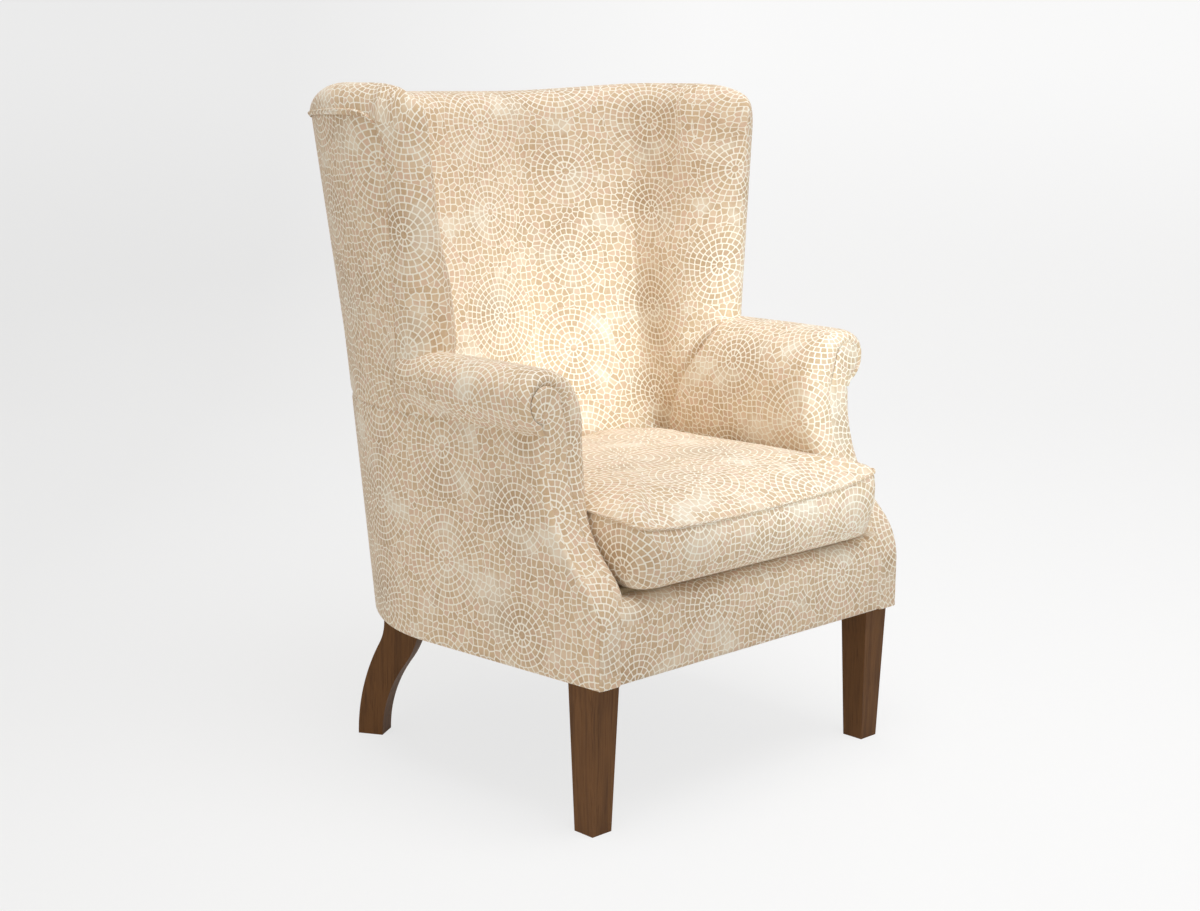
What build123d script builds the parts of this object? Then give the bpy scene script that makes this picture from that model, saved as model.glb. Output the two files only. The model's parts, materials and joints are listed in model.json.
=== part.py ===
"""Barrel-backed wing armchair: beech frame, sprung seat, fluted back, scroll arms, loose cushion."""

import os
from math import acos, atan2, cos, degrees, radians, sin, sqrt, tan

from build123d import *

# Millimetres, +Z up. The chair faces -Y. Setbacks are measured from the front face of the base.
# Every piece is moved back to the middle of the plan when it is saved.

# Clearances
clear = 0.3
hole_clear = 0.1

# Base plan
base_bottom = 220.0
base_side_half = 353.0
base_taper = 24.0
barrel_setback = 365.0
barrel_reach = 320.0

# Lean of the back, in degrees
centre_rake = 7.6
reach_lean = 2.44
wing_flare = 3.55

# Thickness of the back and what it is layered from
wing_thickness = 74.0
back_thickness = 146.0
pad_to_outside_side = 34.0
pad_to_outside_rear = 48.0
panel_recess = 2.0
panel_thickness = 4.0
webbing_thickness = 2.0

# Inside back
flute_angles = (-62.0, -22.0, 22.0, 62.0)
flute_depth = 20.0
flute_depth_top = 8.0
flute_fade = 78.0
inside_back_bottom = 335.0

# Top roll
roll_height = 54.0
roll_overhang = 5.0
top_height = 1032.0
roll_edge_radius = 26.0
roll_swell_share = 0.3
roll_round_share = 0.4
roll_round_angles = (20.0, 50.0, 80.0)

# Wings
wing_seam_behind = 42.0
wing_roll_lap = 25.0
outside_seam_angle = 42.0
welt_size = 7.4

# Arms
arm_top = 650.0
arm_roll_radius = 40.0
arm_roll_out = 3.0
arm_width = 67.0
arm_inner_height = 560.0
arm_pad_thickness = 26.0
arm_head_radius = 22.0
arm_neck_height = 570.0
arm_shoulder_height = 295.0
shoulder_radius = 105.0
sweep_radius = 235.0
sweep_angle = 47.4
facing_thickness = 6.0
scroll_board_thickness = 22.0
scroll_board_width = 34.0

# Frame timbers
rail_bottom = 222.0
rail_height = 100.0
front_rail_thickness = 28.0
side_rail_thickness = 26.0
back_rail_thickness = 32.0
back_post_angle = 40.0
back_post_width = 45.0
back_post_depth = 28.0
wing_post_width = 40.0
wing_post_width_top = 24.0
wing_post_depth = 22.0
top_rail_height = 48.0
lower_rail_bottom = 352.0
lower_rail_height = 40.0
arm_rail_bottom = 575.0
block_size = 74.0
block_height = 60.0

# Fixings
dowel_radius = 5.0
dowel_length = 32.0
screw_radius = 2.5
screw_head_radius = 4.5
screw_length = 55.0
screw_bite = 18.0
screw_head = 3.0
bolt_radius = 4.0
bolt_depth = 40.0
tee_flange_radius = 11.0
tee_flange = 1.6
tee_barrel_radius = 5.5
tee_barrel = 10.0

# Seat
border_thickness = 5.0
border_edge_radius = 10.0
spring_wire = 3.8
spring_half_width = 35.0
spring_turns = 14
spring_places = (-145.0, -48.0, 48.0, 145.0)
clip_width = 18.0
clip_sheet = 1.5
deck_thickness = 17.0
deck_margin = 6.0
dust_cover_thickness = 1.2
webbing_width = 50.0
webbing_angles = (-26.0, -13.0, 0.0, 13.0, 26.0)

# Cushion
cushion_overhang = 12.0
cushion_side_gap = 3.0
cushion_draw = 5.0
cushion_front_radius = 34.0
cushion_side_behind = 33.0
cushion_rear_behind = 177.0
cushion_rear_half = 130.0
cushion_corner_swell = 0.15
cushion_border = 79.0
cushion_edge_radius = 12.0
cushion_crown = 54.0
crown_angles = (0.0, 20.0, 40.0, 60.0)
cover_thickness = 3.0
zip_half_length = 120.0
zip_width = 14.0
zip_thickness = 2.0
slider_length = 14.0
slider_thickness = 4.0

# Legs
front_leg_inset = 30.5
front_leg_setback = 41.0
front_leg_top = 50.5
front_leg_foot = 36.8
rear_foot_inset = 89.0
rear_foot_behind = 225.0
rear_leg_turn_angle = 31.0
rear_leg_foot = 41.0
rear_leg_thickness = 38.0
rear_leg_back_low_radius = 330.0
rear_leg_back_high_radius = 77.0
rear_leg_back_angle = 27.8
rear_leg_front_low_radius = 205.0
rear_leg_front_high_radius = 143.0
rear_leg_front_angle = 36.0

# Values worked out from the sizes above
base_front_half = base_side_half - base_taper
arm_inner_half = base_front_half - arm_width
cushion_half = arm_inner_half - cushion_side_gap
front_leg_half_spacing = base_front_half - front_leg_inset
rear_foot_half_spacing = base_side_half - rear_foot_inset
rail_top = rail_bottom + rail_height
roll_bottom = top_height - roll_height
flute_fade_height = roll_bottom - flute_fade
wing_seam_setback = barrel_setback + wing_seam_behind
wing_roll_setback = wing_seam_setback - wing_roll_lap
arm_pad_end = wing_seam_setback + wing_post_depth + 2 * clear
cushion_side_end = barrel_setback + cushion_side_behind
cushion_rear = barrel_setback + cushion_rear_behind
rear_foot_setback = barrel_setback + rear_foot_behind
panel_inner = panel_recess + panel_thickness
frame_outer = panel_inner + clear
frame_inner_side = pad_to_outside_side - webbing_thickness - 2 * clear
frame_inner_rear = pad_to_outside_rear - webbing_thickness - 2 * clear
roll_centre_height = arm_top - arm_roll_radius
arm_setback = (shoulder_radius + sweep_radius) * (1 - cos(radians(sweep_angle)))
board_inner = arm_inner_half + arm_pad_thickness
arm_roll_half = board_inner + scroll_board_width + arm_roll_out
board_back = facing_thickness + clear + scroll_board_thickness
wing_bottom = arm_top + clear
top_rail_bottom = roll_bottom - clear - top_rail_height
front_rail_back = border_thickness + clear + front_rail_thickness
spring_height = rail_top + clip_sheet + clear + spring_wire / 2
deck_bottom = spring_height + spring_wire / 2 + clear
deck_top = deck_bottom + deck_thickness
cushion_bottom = deck_top + clear
cushion_seam = cushion_bottom + cushion_border


def side_half(z):
    """Half width of the outside at a height: upright to the arm top, flared above it."""
    return base_side_half + max(0.0, z - arm_top) * tan(radians(wing_flare))


def centre_setback(z):
    """Setback of the barrel's centre, which leans back with height."""
    return barrel_setback + (z - base_bottom) * tan(radians(centre_rake))


def outside_reach(z):
    """Distance from the barrel's centre to the outside of the back."""
    return barrel_reach + (z - base_bottom) * tan(radians(reach_lean))


def layer(z, side_inset, rear_inset):
    """Half width, reach and centre of one layer of the back, inset from the outside."""
    return side_half(z) - side_inset, outside_reach(z) - rear_inset, centre_setback(z)


def on_layer(z, angle, side_inset, rear_inset):
    """A point on a layer. Angle 0 is the rear centre and 90 is the right side."""
    half, reach, middle = layer(z, side_inset, rear_inset)
    return (half * sin(radians(angle)), middle + reach * cos(radians(angle)), z)


def layer_arc(z, first, last, side_inset, rear_inset):
    """Elliptical edge of a layer between two angles, first to last."""
    half, reach, middle = layer(z, side_inset, rear_inset)
    low, high = sorted((90 - first, 90 - last))
    return Edge.make_ellipse(half, reach, Plane((0, middle, z)), low, high)


def angle_at(z, setback, side_inset, rear_inset):
    """Angle at which a layer crosses a setback."""
    _, reach, middle = layer(z, side_inset, rear_inset)
    return degrees(acos((setback - middle) / reach))


def half_at(z, setback, side_inset, rear_inset):
    """Half width of a layer at a setback, straight in front of the barrel's centre."""
    half, reach, middle = layer(z, side_inset, rear_inset)
    behind = max(0.0, setback - middle)
    return half * sqrt(1 - (behind / reach) ** 2)


def base_half_at(z, setback, inset):
    """Half width of the base's tapering side in front of the barrel's centre."""
    share = setback / centre_setback(z)
    return base_front_half + (base_side_half - base_front_half) * share - inset


def line(*points):
    """Straight edges through the points."""
    return [Edge.make_line(a, b) for a, b in zip(points, points[1:])]


def arc(start, middle, end):
    """Circular edge through three points."""
    return Edge.make_three_point_arc(start, middle, end)


def ruled(sections):
    """Solid with straight sides through a list of section outlines, each a list of edges."""
    return Solid.make_loft([Wire(edges) for edges in sections], ruled=True)


def mirrored(piece):
    """The same piece on the other side of the chair."""
    return mirror(piece, about=Plane.YZ)


def depth_of_flute(z):
    """Depth of the valleys, which fade towards the top roll."""
    share = max(0.0, z - flute_fade_height) / (roll_bottom - flute_fade_height)
    return flute_depth + min(1.0, share) * (flute_depth_top - flute_depth)


def valley(z, angle, inner_inset=0.0):
    """A point in the valley between two flutes."""
    drop = depth_of_flute(z) + inner_inset
    return on_layer(z, angle, wing_thickness - drop, back_thickness - drop)


def crest(z, angle, inner_inset=0.0):
    """A point on the crest of a flute."""
    return on_layer(z, angle, wing_thickness - inner_inset, back_thickness - inner_inset)


def flutes(z, inner_inset=0.0):
    """The swelling arcs of the inside back, left to right."""
    edges = []
    for first, last in zip(flute_angles, flute_angles[1:]):
        top = crest(z, (first + last) / 2, inner_inset)
        edges.append(arc(valley(z, first, inner_inset), top, valley(z, last, inner_inset)))
    return edges


def roll_levels():
    """Heights of the top roll's sections, with the outward swell and the inward rounding of each."""
    levels = [(roll_bottom, 0.0, 0.0), (roll_bottom + roll_swell_share * roll_height, roll_overhang, 0.0)]
    for angle in roll_round_angles:
        share = roll_round_share + (1 - roll_round_share) * sin(radians(angle))
        height = roll_bottom + share * roll_height
        inset = roll_edge_radius * (1 - cos(radians(angle)))
        levels.append((height, roll_overhang - inset, inset))
    return levels


rear_of_roll = max(centre_setback(z) + outside_reach(z) + swell for z, swell, _ in roll_levels())
plan_middle = (rear_of_roll - cushion_overhang) / 2


def inside_back_lower(z):
    """Section behind the arms, which reaches forward to the end of the arm pads."""
    first, last = flute_angles[0], flute_angles[-1]
    front = arm_pad_end + clear
    face_end = angle_at(z, front, wing_thickness, back_thickness)
    rear_end = angle_at(z, front, pad_to_outside_side, pad_to_outside_rear)
    face_left, face_right = crest(z, -face_end), crest(z, face_end)
    rear = (pad_to_outside_side, pad_to_outside_rear)
    rear_left, rear_right = on_layer(z, -rear_end, *rear), on_layer(z, rear_end, *rear)
    return [
        arc(face_left, crest(z, (first - face_end) / 2), valley(z, first)),
        *flutes(z),
        arc(valley(z, last), crest(z, (last + face_end) / 2), face_right),
        *line(face_right, rear_right),
        layer_arc(z, rear_end, -rear_end, *rear),
        *line(rear_left, face_left),
    ]


def inside_back_section(z, side_inset, rear_inset, inner_inset=0.0):
    """Section of the flutes alone, from the face to a layer behind it."""
    first, last = flute_angles[0], flute_angles[-1]
    rear_left = on_layer(z, first, side_inset, rear_inset)
    rear_right = on_layer(z, last, side_inset, rear_inset)
    return [
        *flutes(z, inner_inset),
        *line(valley(z, last, inner_inset), rear_right),
        layer_arc(z, last, first, side_inset, rear_inset),
        *line(rear_left, valley(z, first, inner_inset)),
    ]


def make_inside_back():
    """Fluted pad that hangs from the top roll down to the seat."""
    lower = ruled([inside_back_lower(inside_back_bottom), inside_back_lower(arm_top)])
    heights = (arm_top, flute_fade_height, roll_bottom)
    rear = (pad_to_outside_side, pad_to_outside_rear)
    upper = ruled([inside_back_section(z, *rear) for z in heights])
    levels = roll_levels()
    roll = ruled([inside_back_section(z, -swell, -swell, inset) for z, swell, inset in levels])
    return lower + upper + roll


def wing_section(z, swell=0.0, inset=0.0, over_roll=False):
    """Section of the right wing: fluted face, front roll, and the seam or the top roll's outside."""
    first = flute_angles[-1] + degrees(2 * clear / side_half(z))
    start = valley(z, first, inset)
    face = side_half(z) - wing_thickness + inset
    outside = side_half(z) + swell
    middle = centre_setback(z)
    roll = (outside - face) / 2
    roll_y = wing_roll_setback + inset
    diagonal = roll * sin(radians(45))
    half = (face + outside) / 2
    nose = (half, roll_y - roll, z)
    edges = [
        arc(start, crest(z, (first + 90) / 2, inset), (face, middle, z)),
        *line((face, middle, z), (face, roll_y, z)),
        arc((face, roll_y, z), (half - diagonal, roll_y - diagonal, z), nose),
        arc(nose, (half + diagonal, roll_y - diagonal, z), (outside, roll_y, z)),
    ]
    if over_roll:
        rear = (-swell, -swell)
        edges += line((outside, roll_y, z), (outside, middle, z))
    else:
        rear = (pad_to_outside_side, pad_to_outside_rear)
        back = side_half(z) - pad_to_outside_side
        edges += line(
            (outside, roll_y, z),
            (outside, wing_seam_setback, z),
            (back, wing_seam_setback, z),
            (back, middle, z),
        )
    edges.append(layer_arc(z, 90, first, *rear))
    edges += line(on_layer(z, first, *rear), start)
    return edges


def make_inside_wing():
    """Right wing pad with its front roll and its stretch of the top roll."""
    body = ruled([wing_section(z) for z in (wing_bottom, flute_fade_height, roll_bottom)])
    levels = roll_levels()
    roll = ruled([wing_section(z, swell, inset, True) for z, swell, inset in levels])
    return body + roll


def panel_section(z, front_edges, last_angle):
    """Section of an outside panel of the right side, from its front edge to a rear seam."""
    outer_front, inner_front = front_edges
    outer_corner = on_layer(z, 90, panel_recess, panel_recess)
    inner_corner = on_layer(z, 90, panel_inner, panel_inner)
    return [
        *line(outer_front, outer_corner),
        layer_arc(z, 90, last_angle, panel_recess, panel_recess),
        *line(
            on_layer(z, last_angle, panel_recess, panel_recess),
            on_layer(z, last_angle, panel_inner, panel_inner),
        ),
        layer_arc(z, last_angle, 90, panel_inner, panel_inner),
        *line(inner_corner, inner_front, outer_front),
    ]


def make_outside_arm():
    """Right outside arm panel, trimmed to the sweep of the arm front."""
    sections = []
    for z in (base_bottom, arm_neck_height):
        outer = (base_half_at(z, 0, panel_recess), 0, z)
        inner = (base_half_at(z, 0, panel_inner), 0, z)
        sections.append(panel_section(z, (outer, inner), outside_seam_angle))
    return ruled(sections) & arm_side(0)


def make_outside_wing():
    """Right outside wing panel, from the arm seam up to the welt."""
    front = wing_seam_setback + clear
    sections = []
    for z in (arm_neck_height + clear, arm_top, roll_bottom - clear - welt_size - clear):
        half = side_half(z)
        edges = ((half - panel_recess, front, z), (half - panel_inner, front, z))
        sections.append(panel_section(z, edges, outside_seam_angle))
    return ruled(sections)


def band(z, first, last, inner, outer):
    """Section of a curved band between two layers and two angles."""
    return [
        layer_arc(z, first, last, *outer),
        *line(on_layer(z, last, *outer), on_layer(z, last, *inner)),
        layer_arc(z, last, first, *inner),
        *line(on_layer(z, first, *inner), on_layer(z, first, *outer)),
    ]


def make_outside_back():
    """Outside back panel between the two rear seams."""
    end = outside_seam_angle - degrees(clear / base_side_half)
    heights = (base_bottom, arm_top, roll_bottom - clear - welt_size - clear)
    inner, outer = (panel_inner, panel_inner), (panel_recess, panel_recess)
    return ruled([band(z, -end, end, inner, outer) for z in heights])


def horseshoe(z, front, inner, outer):
    """Section of a band that runs round the back from one wing front to the other."""
    half_out, half_in = side_half(z) - outer[0], side_half(z) - inner[0]
    middle = centre_setback(z)
    return [
        *line((half_out, front, z), (half_out, middle, z)),
        layer_arc(z, 90, -90, *outer),
        *line((-half_out, middle, z), (-half_out, front, z), (-half_in, front, z), (-half_in, middle, z)),
        layer_arc(z, -90, 90, *inner),
        *line((half_in, middle, z), (half_in, front, z), (half_out, front, z)),
    ]


def make_back_welt():
    """Piping along the underside of the top roll."""
    low = roll_bottom - clear - welt_size
    sections = []
    for z, swell in ((low, 0.0), (low + welt_size / 2, roll_overhang / 2), (low + welt_size, 0.0)):
        outer = (panel_recess - swell, panel_recess - swell)
        sections.append(horseshoe(z, wing_seam_setback + clear, (panel_inner, panel_inner), outer))
    return ruled(sections)


def arm_side(offset):
    """Block behind the swept arm front, set back by an offset, seen from the side."""
    depth = rear_of_roll
    bottom = (offset, base_bottom)
    shoulder = JernArc((offset, arm_shoulder_height), (0, 1), shoulder_radius - offset, -sweep_angle)
    sweep = JernArc(shoulder @ 1, shoulder % 1, sweep_radius + offset, sweep_angle)
    top = (sweep @ 1).X, top_height
    outline = [
        *line(bottom, shoulder @ 0),
        shoulder,
        sweep,
        *line(sweep @ 1, top, (depth, top_height), (depth, base_bottom), bottom),
    ]
    side = Plane.YZ * make_face(outline)
    return extrude(side, amount=base_side_half + roll_overhang + arm_roll_radius)


def front_shape(outline, start, end):
    """Extrude an outline drawn in the front view from one setback to another."""
    return extrude(Plane.XZ.offset(-end) * outline, amount=end - start)


def keyhole(gap=0.0):
    """Front outline of the right arm's timber: a round head on an upright stem."""
    stem_low, stem_high = rail_bottom - gap, roll_centre_height
    stem_half = scroll_board_width / 2 + gap
    stem = Pos(board_inner + scroll_board_width / 2, (stem_low + stem_high) / 2) * Rectangle(
        2 * stem_half, stem_high - stem_low
    )
    head = Pos(arm_roll_half, roll_centre_height) * Circle(arm_head_radius + gap)
    return stem + head


def make_inside_arm():
    """Right arm pad: the inner wall, and a roll that turns outward over the arm rail."""
    low = deck_bottom
    outer_low = roll_centre_height - arm_roll_radius
    lean = (arm_roll_half - arm_roll_radius, roll_centre_height)
    wall = make_face(
        line(
            (arm_inner_half, low),
            (arm_inner_half, arm_inner_height),
            lean,
            (arm_roll_half, roll_centre_height),
            (board_inner, roll_centre_height - arm_roll_radius),
            (board_inner, low),
            (arm_inner_half, low),
        )
    )
    disc = Pos(arm_roll_half, roll_centre_height) * Circle(arm_roll_radius)
    stem = Pos(board_inner, low) * Rectangle(
        scroll_board_width + clear, roll_centre_height - low, align=(Align.MIN, Align.MIN)
    )
    rail = keyhole(clear)
    under = Pos(board_inner, low) * Rectangle(
        arm_roll_half, arm_neck_height + clear - low, align=(Align.MIN, Align.MIN)
    )
    profile = wall + disc - rail - stem - under
    roll = front_shape(profile, 0, wing_seam_setback)
    inner = wall - rail - stem
    inner &= Pos(0, low) * Rectangle(
        board_inner - clear, outer_low + 2 * arm_roll_radius, align=(Align.MIN, Align.MIN)
    )
    return (roll + front_shape(inner, wing_seam_setback, arm_pad_end)) & arm_side(0)


def make_arm_facing():
    """Right arm's front panel, a thin keyhole that follows the sweep."""
    outline = keyhole(-clear)
    low = Pos(board_inner + clear, base_bottom) * Rectangle(
        base_front_half - panel_inner - board_inner - 2 * clear,
        arm_shoulder_height - base_bottom,
        align=(Align.MIN, Align.MIN),
    )
    strip = front_shape(outline + low, 0, arm_setback + board_back)
    return strip & (arm_side(0) - arm_side(facing_thickness))


def make_scroll_board():
    """Right arm's swept front post, cut from board."""
    post = front_shape(keyhole(), 0, arm_setback + board_back)
    return post & (arm_side(facing_thickness + clear) - arm_side(board_back))


def make_arm_rail():
    """Right arm rail, round on top where the pad rolls over it."""
    head = Pos(arm_roll_half, roll_centre_height) * Circle(arm_head_radius)
    web_left = arm_roll_half - arm_head_radius
    web = Pos(web_left, arm_rail_bottom) * Rectangle(
        board_inner + scroll_board_width - web_left,
        roll_centre_height - arm_rail_bottom,
        align=(Align.MIN, Align.MIN),
    )
    return front_shape(head + web, arm_setback + board_back, wing_seam_setback + clear)


def make_side_rail():
    """Right seat rail, following the base's taper and the lean of the barrel."""
    sections = []
    for z in (rail_bottom, rail_top):
        front, rear = board_back, centre_setback(z)
        outer = frame_outer
        inner = frame_outer + side_rail_thickness
        sections.append(
            line(
                (base_half_at(z, front, outer), front, z),
                (base_half_at(z, rear, outer), rear, z),
                (base_half_at(z, rear, inner), rear, z),
                (base_half_at(z, front, inner), front, z),
                (base_half_at(z, front, outer), front, z),
            )
        )
    return ruled(sections)


def make_back_rail():
    """Curved back seat rail between the two side rails."""
    inner = (frame_outer + back_rail_thickness, frame_outer + back_rail_thickness)
    outer = (frame_outer, frame_outer)
    return ruled([band(z, -90, 90, inner, outer) for z in (rail_bottom, rail_top)])


def post_place(z):
    """Middle of the right back post at a height, and the turn of its section in degrees."""
    side = (frame_outer + frame_inner_side) / 2
    rear = (frame_outer + frame_inner_rear) / 2
    x, y, _ = on_layer(z, back_post_angle, side, rear)
    half, reach, middle = layer(z, side, rear)
    normal = atan2((y - middle) / reach**2, x / half**2)
    return (x, y, z), degrees(normal)


def make_back_post():
    """Right back post, raked with the back."""
    sections = []
    for z in (rail_top, arm_top, top_rail_bottom):
        place, turn = post_place(z)
        outline = Location(place, (0, 0, turn)) * Rectangle(back_post_depth, back_post_width)
        sections.append(outline.wire().edges())
    return ruled(sections)


def make_lower_rail(posts):
    """Curved rail low in the back that the pad and webbing are fixed to."""
    inner, outer = (frame_inner_side, frame_inner_rear), (frame_outer, frame_outer)
    heights = (lower_rail_bottom, lower_rail_bottom + lower_rail_height)
    rail = ruled([band(z, -back_post_angle, back_post_angle, inner, outer) for z in heights])
    for post in posts:
        rail -= post
    return rail


def make_top_rail():
    """Curved top rail, resting on the back posts and the wing posts."""
    inner, outer = (frame_inner_side, frame_inner_rear), (frame_outer, frame_outer)
    heights = (top_rail_bottom, roll_bottom - clear)
    front = wing_seam_setback + clear
    return ruled([horseshoe(z, front, inner, outer) for z in heights])


def wing_post_outline(z, width):
    """Plan outline of the right wing post at a height."""
    front = wing_seam_setback + clear
    rear = front + wing_post_depth
    outer = half_at(z, rear, frame_outer, frame_outer)
    inner = outer - width
    corners = ((outer, front, z), (outer, rear, z), (inner, rear, z), (inner, front, z))
    return line(*corners, corners[0])


def make_wing_post():
    """Right wing post, narrower above the arm."""
    lower = ruled([wing_post_outline(z, wing_post_width) for z in (rail_top, arm_top)])
    heights = (arm_top, top_rail_bottom)
    upper = ruled([wing_post_outline(z, wing_post_width_top) for z in heights])
    return lower + upper


def make_front_rail():
    """Front seat rail between the two scroll boards."""
    rail = Box(2 * board_inner, front_rail_thickness, rail_height, align=(Align.CENTER, Align.MIN, Align.MIN))
    return Pos(0, border_thickness + clear, rail_bottom) * rail


def make_front_border():
    """Front panel of the base, with a stuffed edge that rolls back over the front rail between the arms."""
    lip_low = spring_height + spring_wire / 2 + clip_sheet + 2 * clear
    panel = Box(
        2 * (board_inner - clear),
        border_thickness,
        lip_low - base_bottom,
        align=(Align.CENTER, Align.MIN, Align.MIN),
    )
    edge = Box(
        2 * (arm_inner_half - clear),
        front_rail_back,
        deck_top - lip_low,
        align=(Align.CENTER, Align.MIN, Align.MIN),
    )
    nose = edge.edges().filter_by(Axis.X).group_by(Axis.Y)[0].sort_by(Axis.Z)[-1]
    edge = fillet(nose, border_edge_radius)
    return Pos(0, 0, base_bottom) * panel + Pos(0, 0, lip_low) * edge


def front_block():
    """Right front corner block, a triangle set behind the front rail."""
    corner = block_corner()
    outline = make_face(
        line(corner, corner - Vector(block_size, 0, 0), corner + Vector(0, block_size, 0), corner)
    )
    return extrude(outline, amount=block_height)


def rear_leg_plane():
    """Frame of the right rear leg: X runs along its length of stride, from the foot inward."""
    turn = radians(rear_leg_turn_angle)
    return Plane(
        origin=(rear_foot_half_spacing, rear_foot_setback, 0),
        x_dir=(-sin(turn), -cos(turn), 0),
        z_dir=(0, 0, 1),
    )


def leg_edge(start, low_radius, high_radius, turn):
    """One edge of the sabre leg: out of the floor, through a double curve, up to the seat."""
    lower = JernArc((start, 0), (0, 1), low_radius, -turn)
    upper = JernArc(lower @ 1, lower % 1, high_radius, turn)
    return lower, upper


def leg_back():
    """Rear edge of the sabre leg."""
    return leg_edge(
        -rear_leg_foot / 2, rear_leg_back_low_radius, rear_leg_back_high_radius, rear_leg_back_angle
    )


def leg_front():
    """Front edge of the sabre leg."""
    return leg_edge(
        rear_leg_foot / 2, rear_leg_front_low_radius, rear_leg_front_high_radius, rear_leg_front_angle
    )


def make_rear_leg():
    """Right rear leg, a sabre that sweeps back and outward."""
    back_low, back_high = leg_back()
    front_low, front_high = leg_front()
    back_top = ((back_high @ 1).X, rail_bottom)
    front_top = ((front_high @ 1).X, rail_bottom)
    outline = make_face(
        [
            back_low,
            back_high,
            *line(back_high @ 1, back_top, front_top, front_high @ 1),
            front_high,
            front_low,
            *line(front_low @ 0, back_low @ 0),
        ]
    )
    plane = rear_leg_plane()
    upright = Plane(plane.origin, x_dir=plane.x_dir, z_dir=plane.y_dir * -1)
    return extrude(upright * outline, amount=rear_leg_thickness / 2, both=True)


def rear_leg_strides():
    """Where the back and the front edge of the rear leg end, along its stride."""
    _, back_high = leg_back()
    _, front_high = leg_front()
    return (back_high @ 1).X, (front_high @ 1).X


def rear_leg_top():
    """Middle of the right rear leg's top, in plan."""
    point = rear_leg_plane().from_local_coords(Vector(sum(rear_leg_strides()) / 2, 0, 0))
    return point.X, point.Y


def rear_block():
    """Right rear corner block, shaped to the curved rail above the leg."""
    x, y = rear_leg_top()
    block = Location((x, y, rail_bottom), (0, 0, -rear_leg_turn_angle)) * Box(
        block_size, block_size, block_height, align=(Align.CENTER, Align.CENTER, Align.MIN)
    )
    inset = frame_outer + back_rail_thickness + clear
    room = ruled([inner_room(z, inset) for z in (rail_bottom, rail_bottom + block_height)])
    return block & room


def inner_room(z, inset):
    """Half-ellipse of plan inside the curved back rail."""
    left, right = on_layer(z, -90, inset, inset), on_layer(z, 90, inset, inset)
    return [layer_arc(z, 90, -90, inset, inset), *line(left, (left[0], 0, z), (right[0], 0, z), right)]


def make_front_leg():
    """Right front leg, square and tapered on every side."""
    sections = []
    for z, size in ((0.0, front_leg_foot), (rail_bottom, front_leg_top)):
        outline = Pos(front_leg_half_spacing, front_leg_setback, z) * Rectangle(size, size)
        sections.append(outline.wire().edges())
    return ruled(sections)


def rod(centre, direction, radius, length):
    """Round rod centred on a point."""
    plane = Plane(origin=centre, z_dir=direction)
    return extrude(plane.offset(-length / 2) * Circle(radius), amount=length)


def cushion_outline(z, inset, scale=1.0):
    """Plan outline of the cushion: drawn-in sides, rounded front corners, rear shaped to the barrel."""
    half = cushion_half - inset
    front = -cushion_overhang + inset
    rear = cushion_rear - inset
    rear_half = cushion_rear_half
    corner = cushion_front_radius
    turn = corner * (1 - sin(radians(45)))
    middle = (rear + front) / 2

    def at(x, y):
        return (x * scale, middle + (y - middle) * scale, z)

    side_middle = (front + corner + cushion_side_end) / 2
    bulge_x = (half + rear_half) / 2 + (rear - cushion_side_end) * cushion_corner_swell
    bulge_y = (rear + cushion_side_end) / 2 + (half - rear_half) * cushion_corner_swell
    edges = line(at(-half + corner, front), at(half - corner, front))
    edges.append(arc(at(half - corner, front), at(half - turn, front + turn), at(half, front + corner)))
    edges.append(
        arc(at(half, front + corner), at(half - cushion_draw, side_middle), at(half, cushion_side_end))
    )
    edges.append(arc(at(half, cushion_side_end), at(bulge_x, bulge_y), at(rear_half, rear)))
    edges += line(at(rear_half, rear), at(-rear_half, rear))
    edges.append(arc(at(-rear_half, rear), at(-bulge_x, bulge_y), at(-half, cushion_side_end)))
    edges.append(
        arc(at(-half, cushion_side_end), at(-half + cushion_draw, side_middle), at(-half, front + corner))
    )
    edges.append(arc(at(-half, front + corner), at(-half + turn, front + turn), at(-half + corner, front)))
    return edges


def cushion_form(inset):
    """Boxed cushion with rounded lower edges, a seam round the top and a crown above it."""
    low, seam = cushion_bottom + inset, cushion_seam - inset
    edge = cushion_edge_radius
    box = ruled(
        [
            cushion_outline(low, inset + edge),
            cushion_outline(low + edge * 0.3, inset + edge * 0.3),
            cushion_outline(low + edge, inset),
            cushion_outline(seam, inset),
        ]
    )
    crown = ruled(
        [
            cushion_outline(seam + cushion_crown * sin(radians(angle)), inset, cos(radians(angle)))
            for angle in crown_angles
        ]
    )
    return box + crown


def make_zip():
    """Zip tape along the cushion's rear border."""
    middle = cushion_bottom + cushion_border / 2
    tape = Box(2 * zip_half_length, zip_thickness, zip_width, align=(Align.CENTER, Align.MIN, Align.CENTER))
    return Pos(0, cushion_rear + clear, middle) * tape


def make_zip_slider():
    """Zip slider with its pull hanging below, at the closed end."""
    middle = cushion_bottom + cushion_border / 2
    face = cushion_rear + clear + zip_thickness + clear
    body = Box(slider_length, slider_thickness, zip_width, align=(Align.CENTER, Align.MIN, Align.CENTER))
    body = fillet(body.edges().filter_by(Axis.Y), slider_length / 4)
    pull = Box(slider_length / 2, slider_thickness / 2, zip_width * 1.5)
    pull = Pos(0, slider_thickness / 2, -zip_width) * pull
    return Pos(zip_half_length - slider_length, face, middle) * (body + pull)


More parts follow.
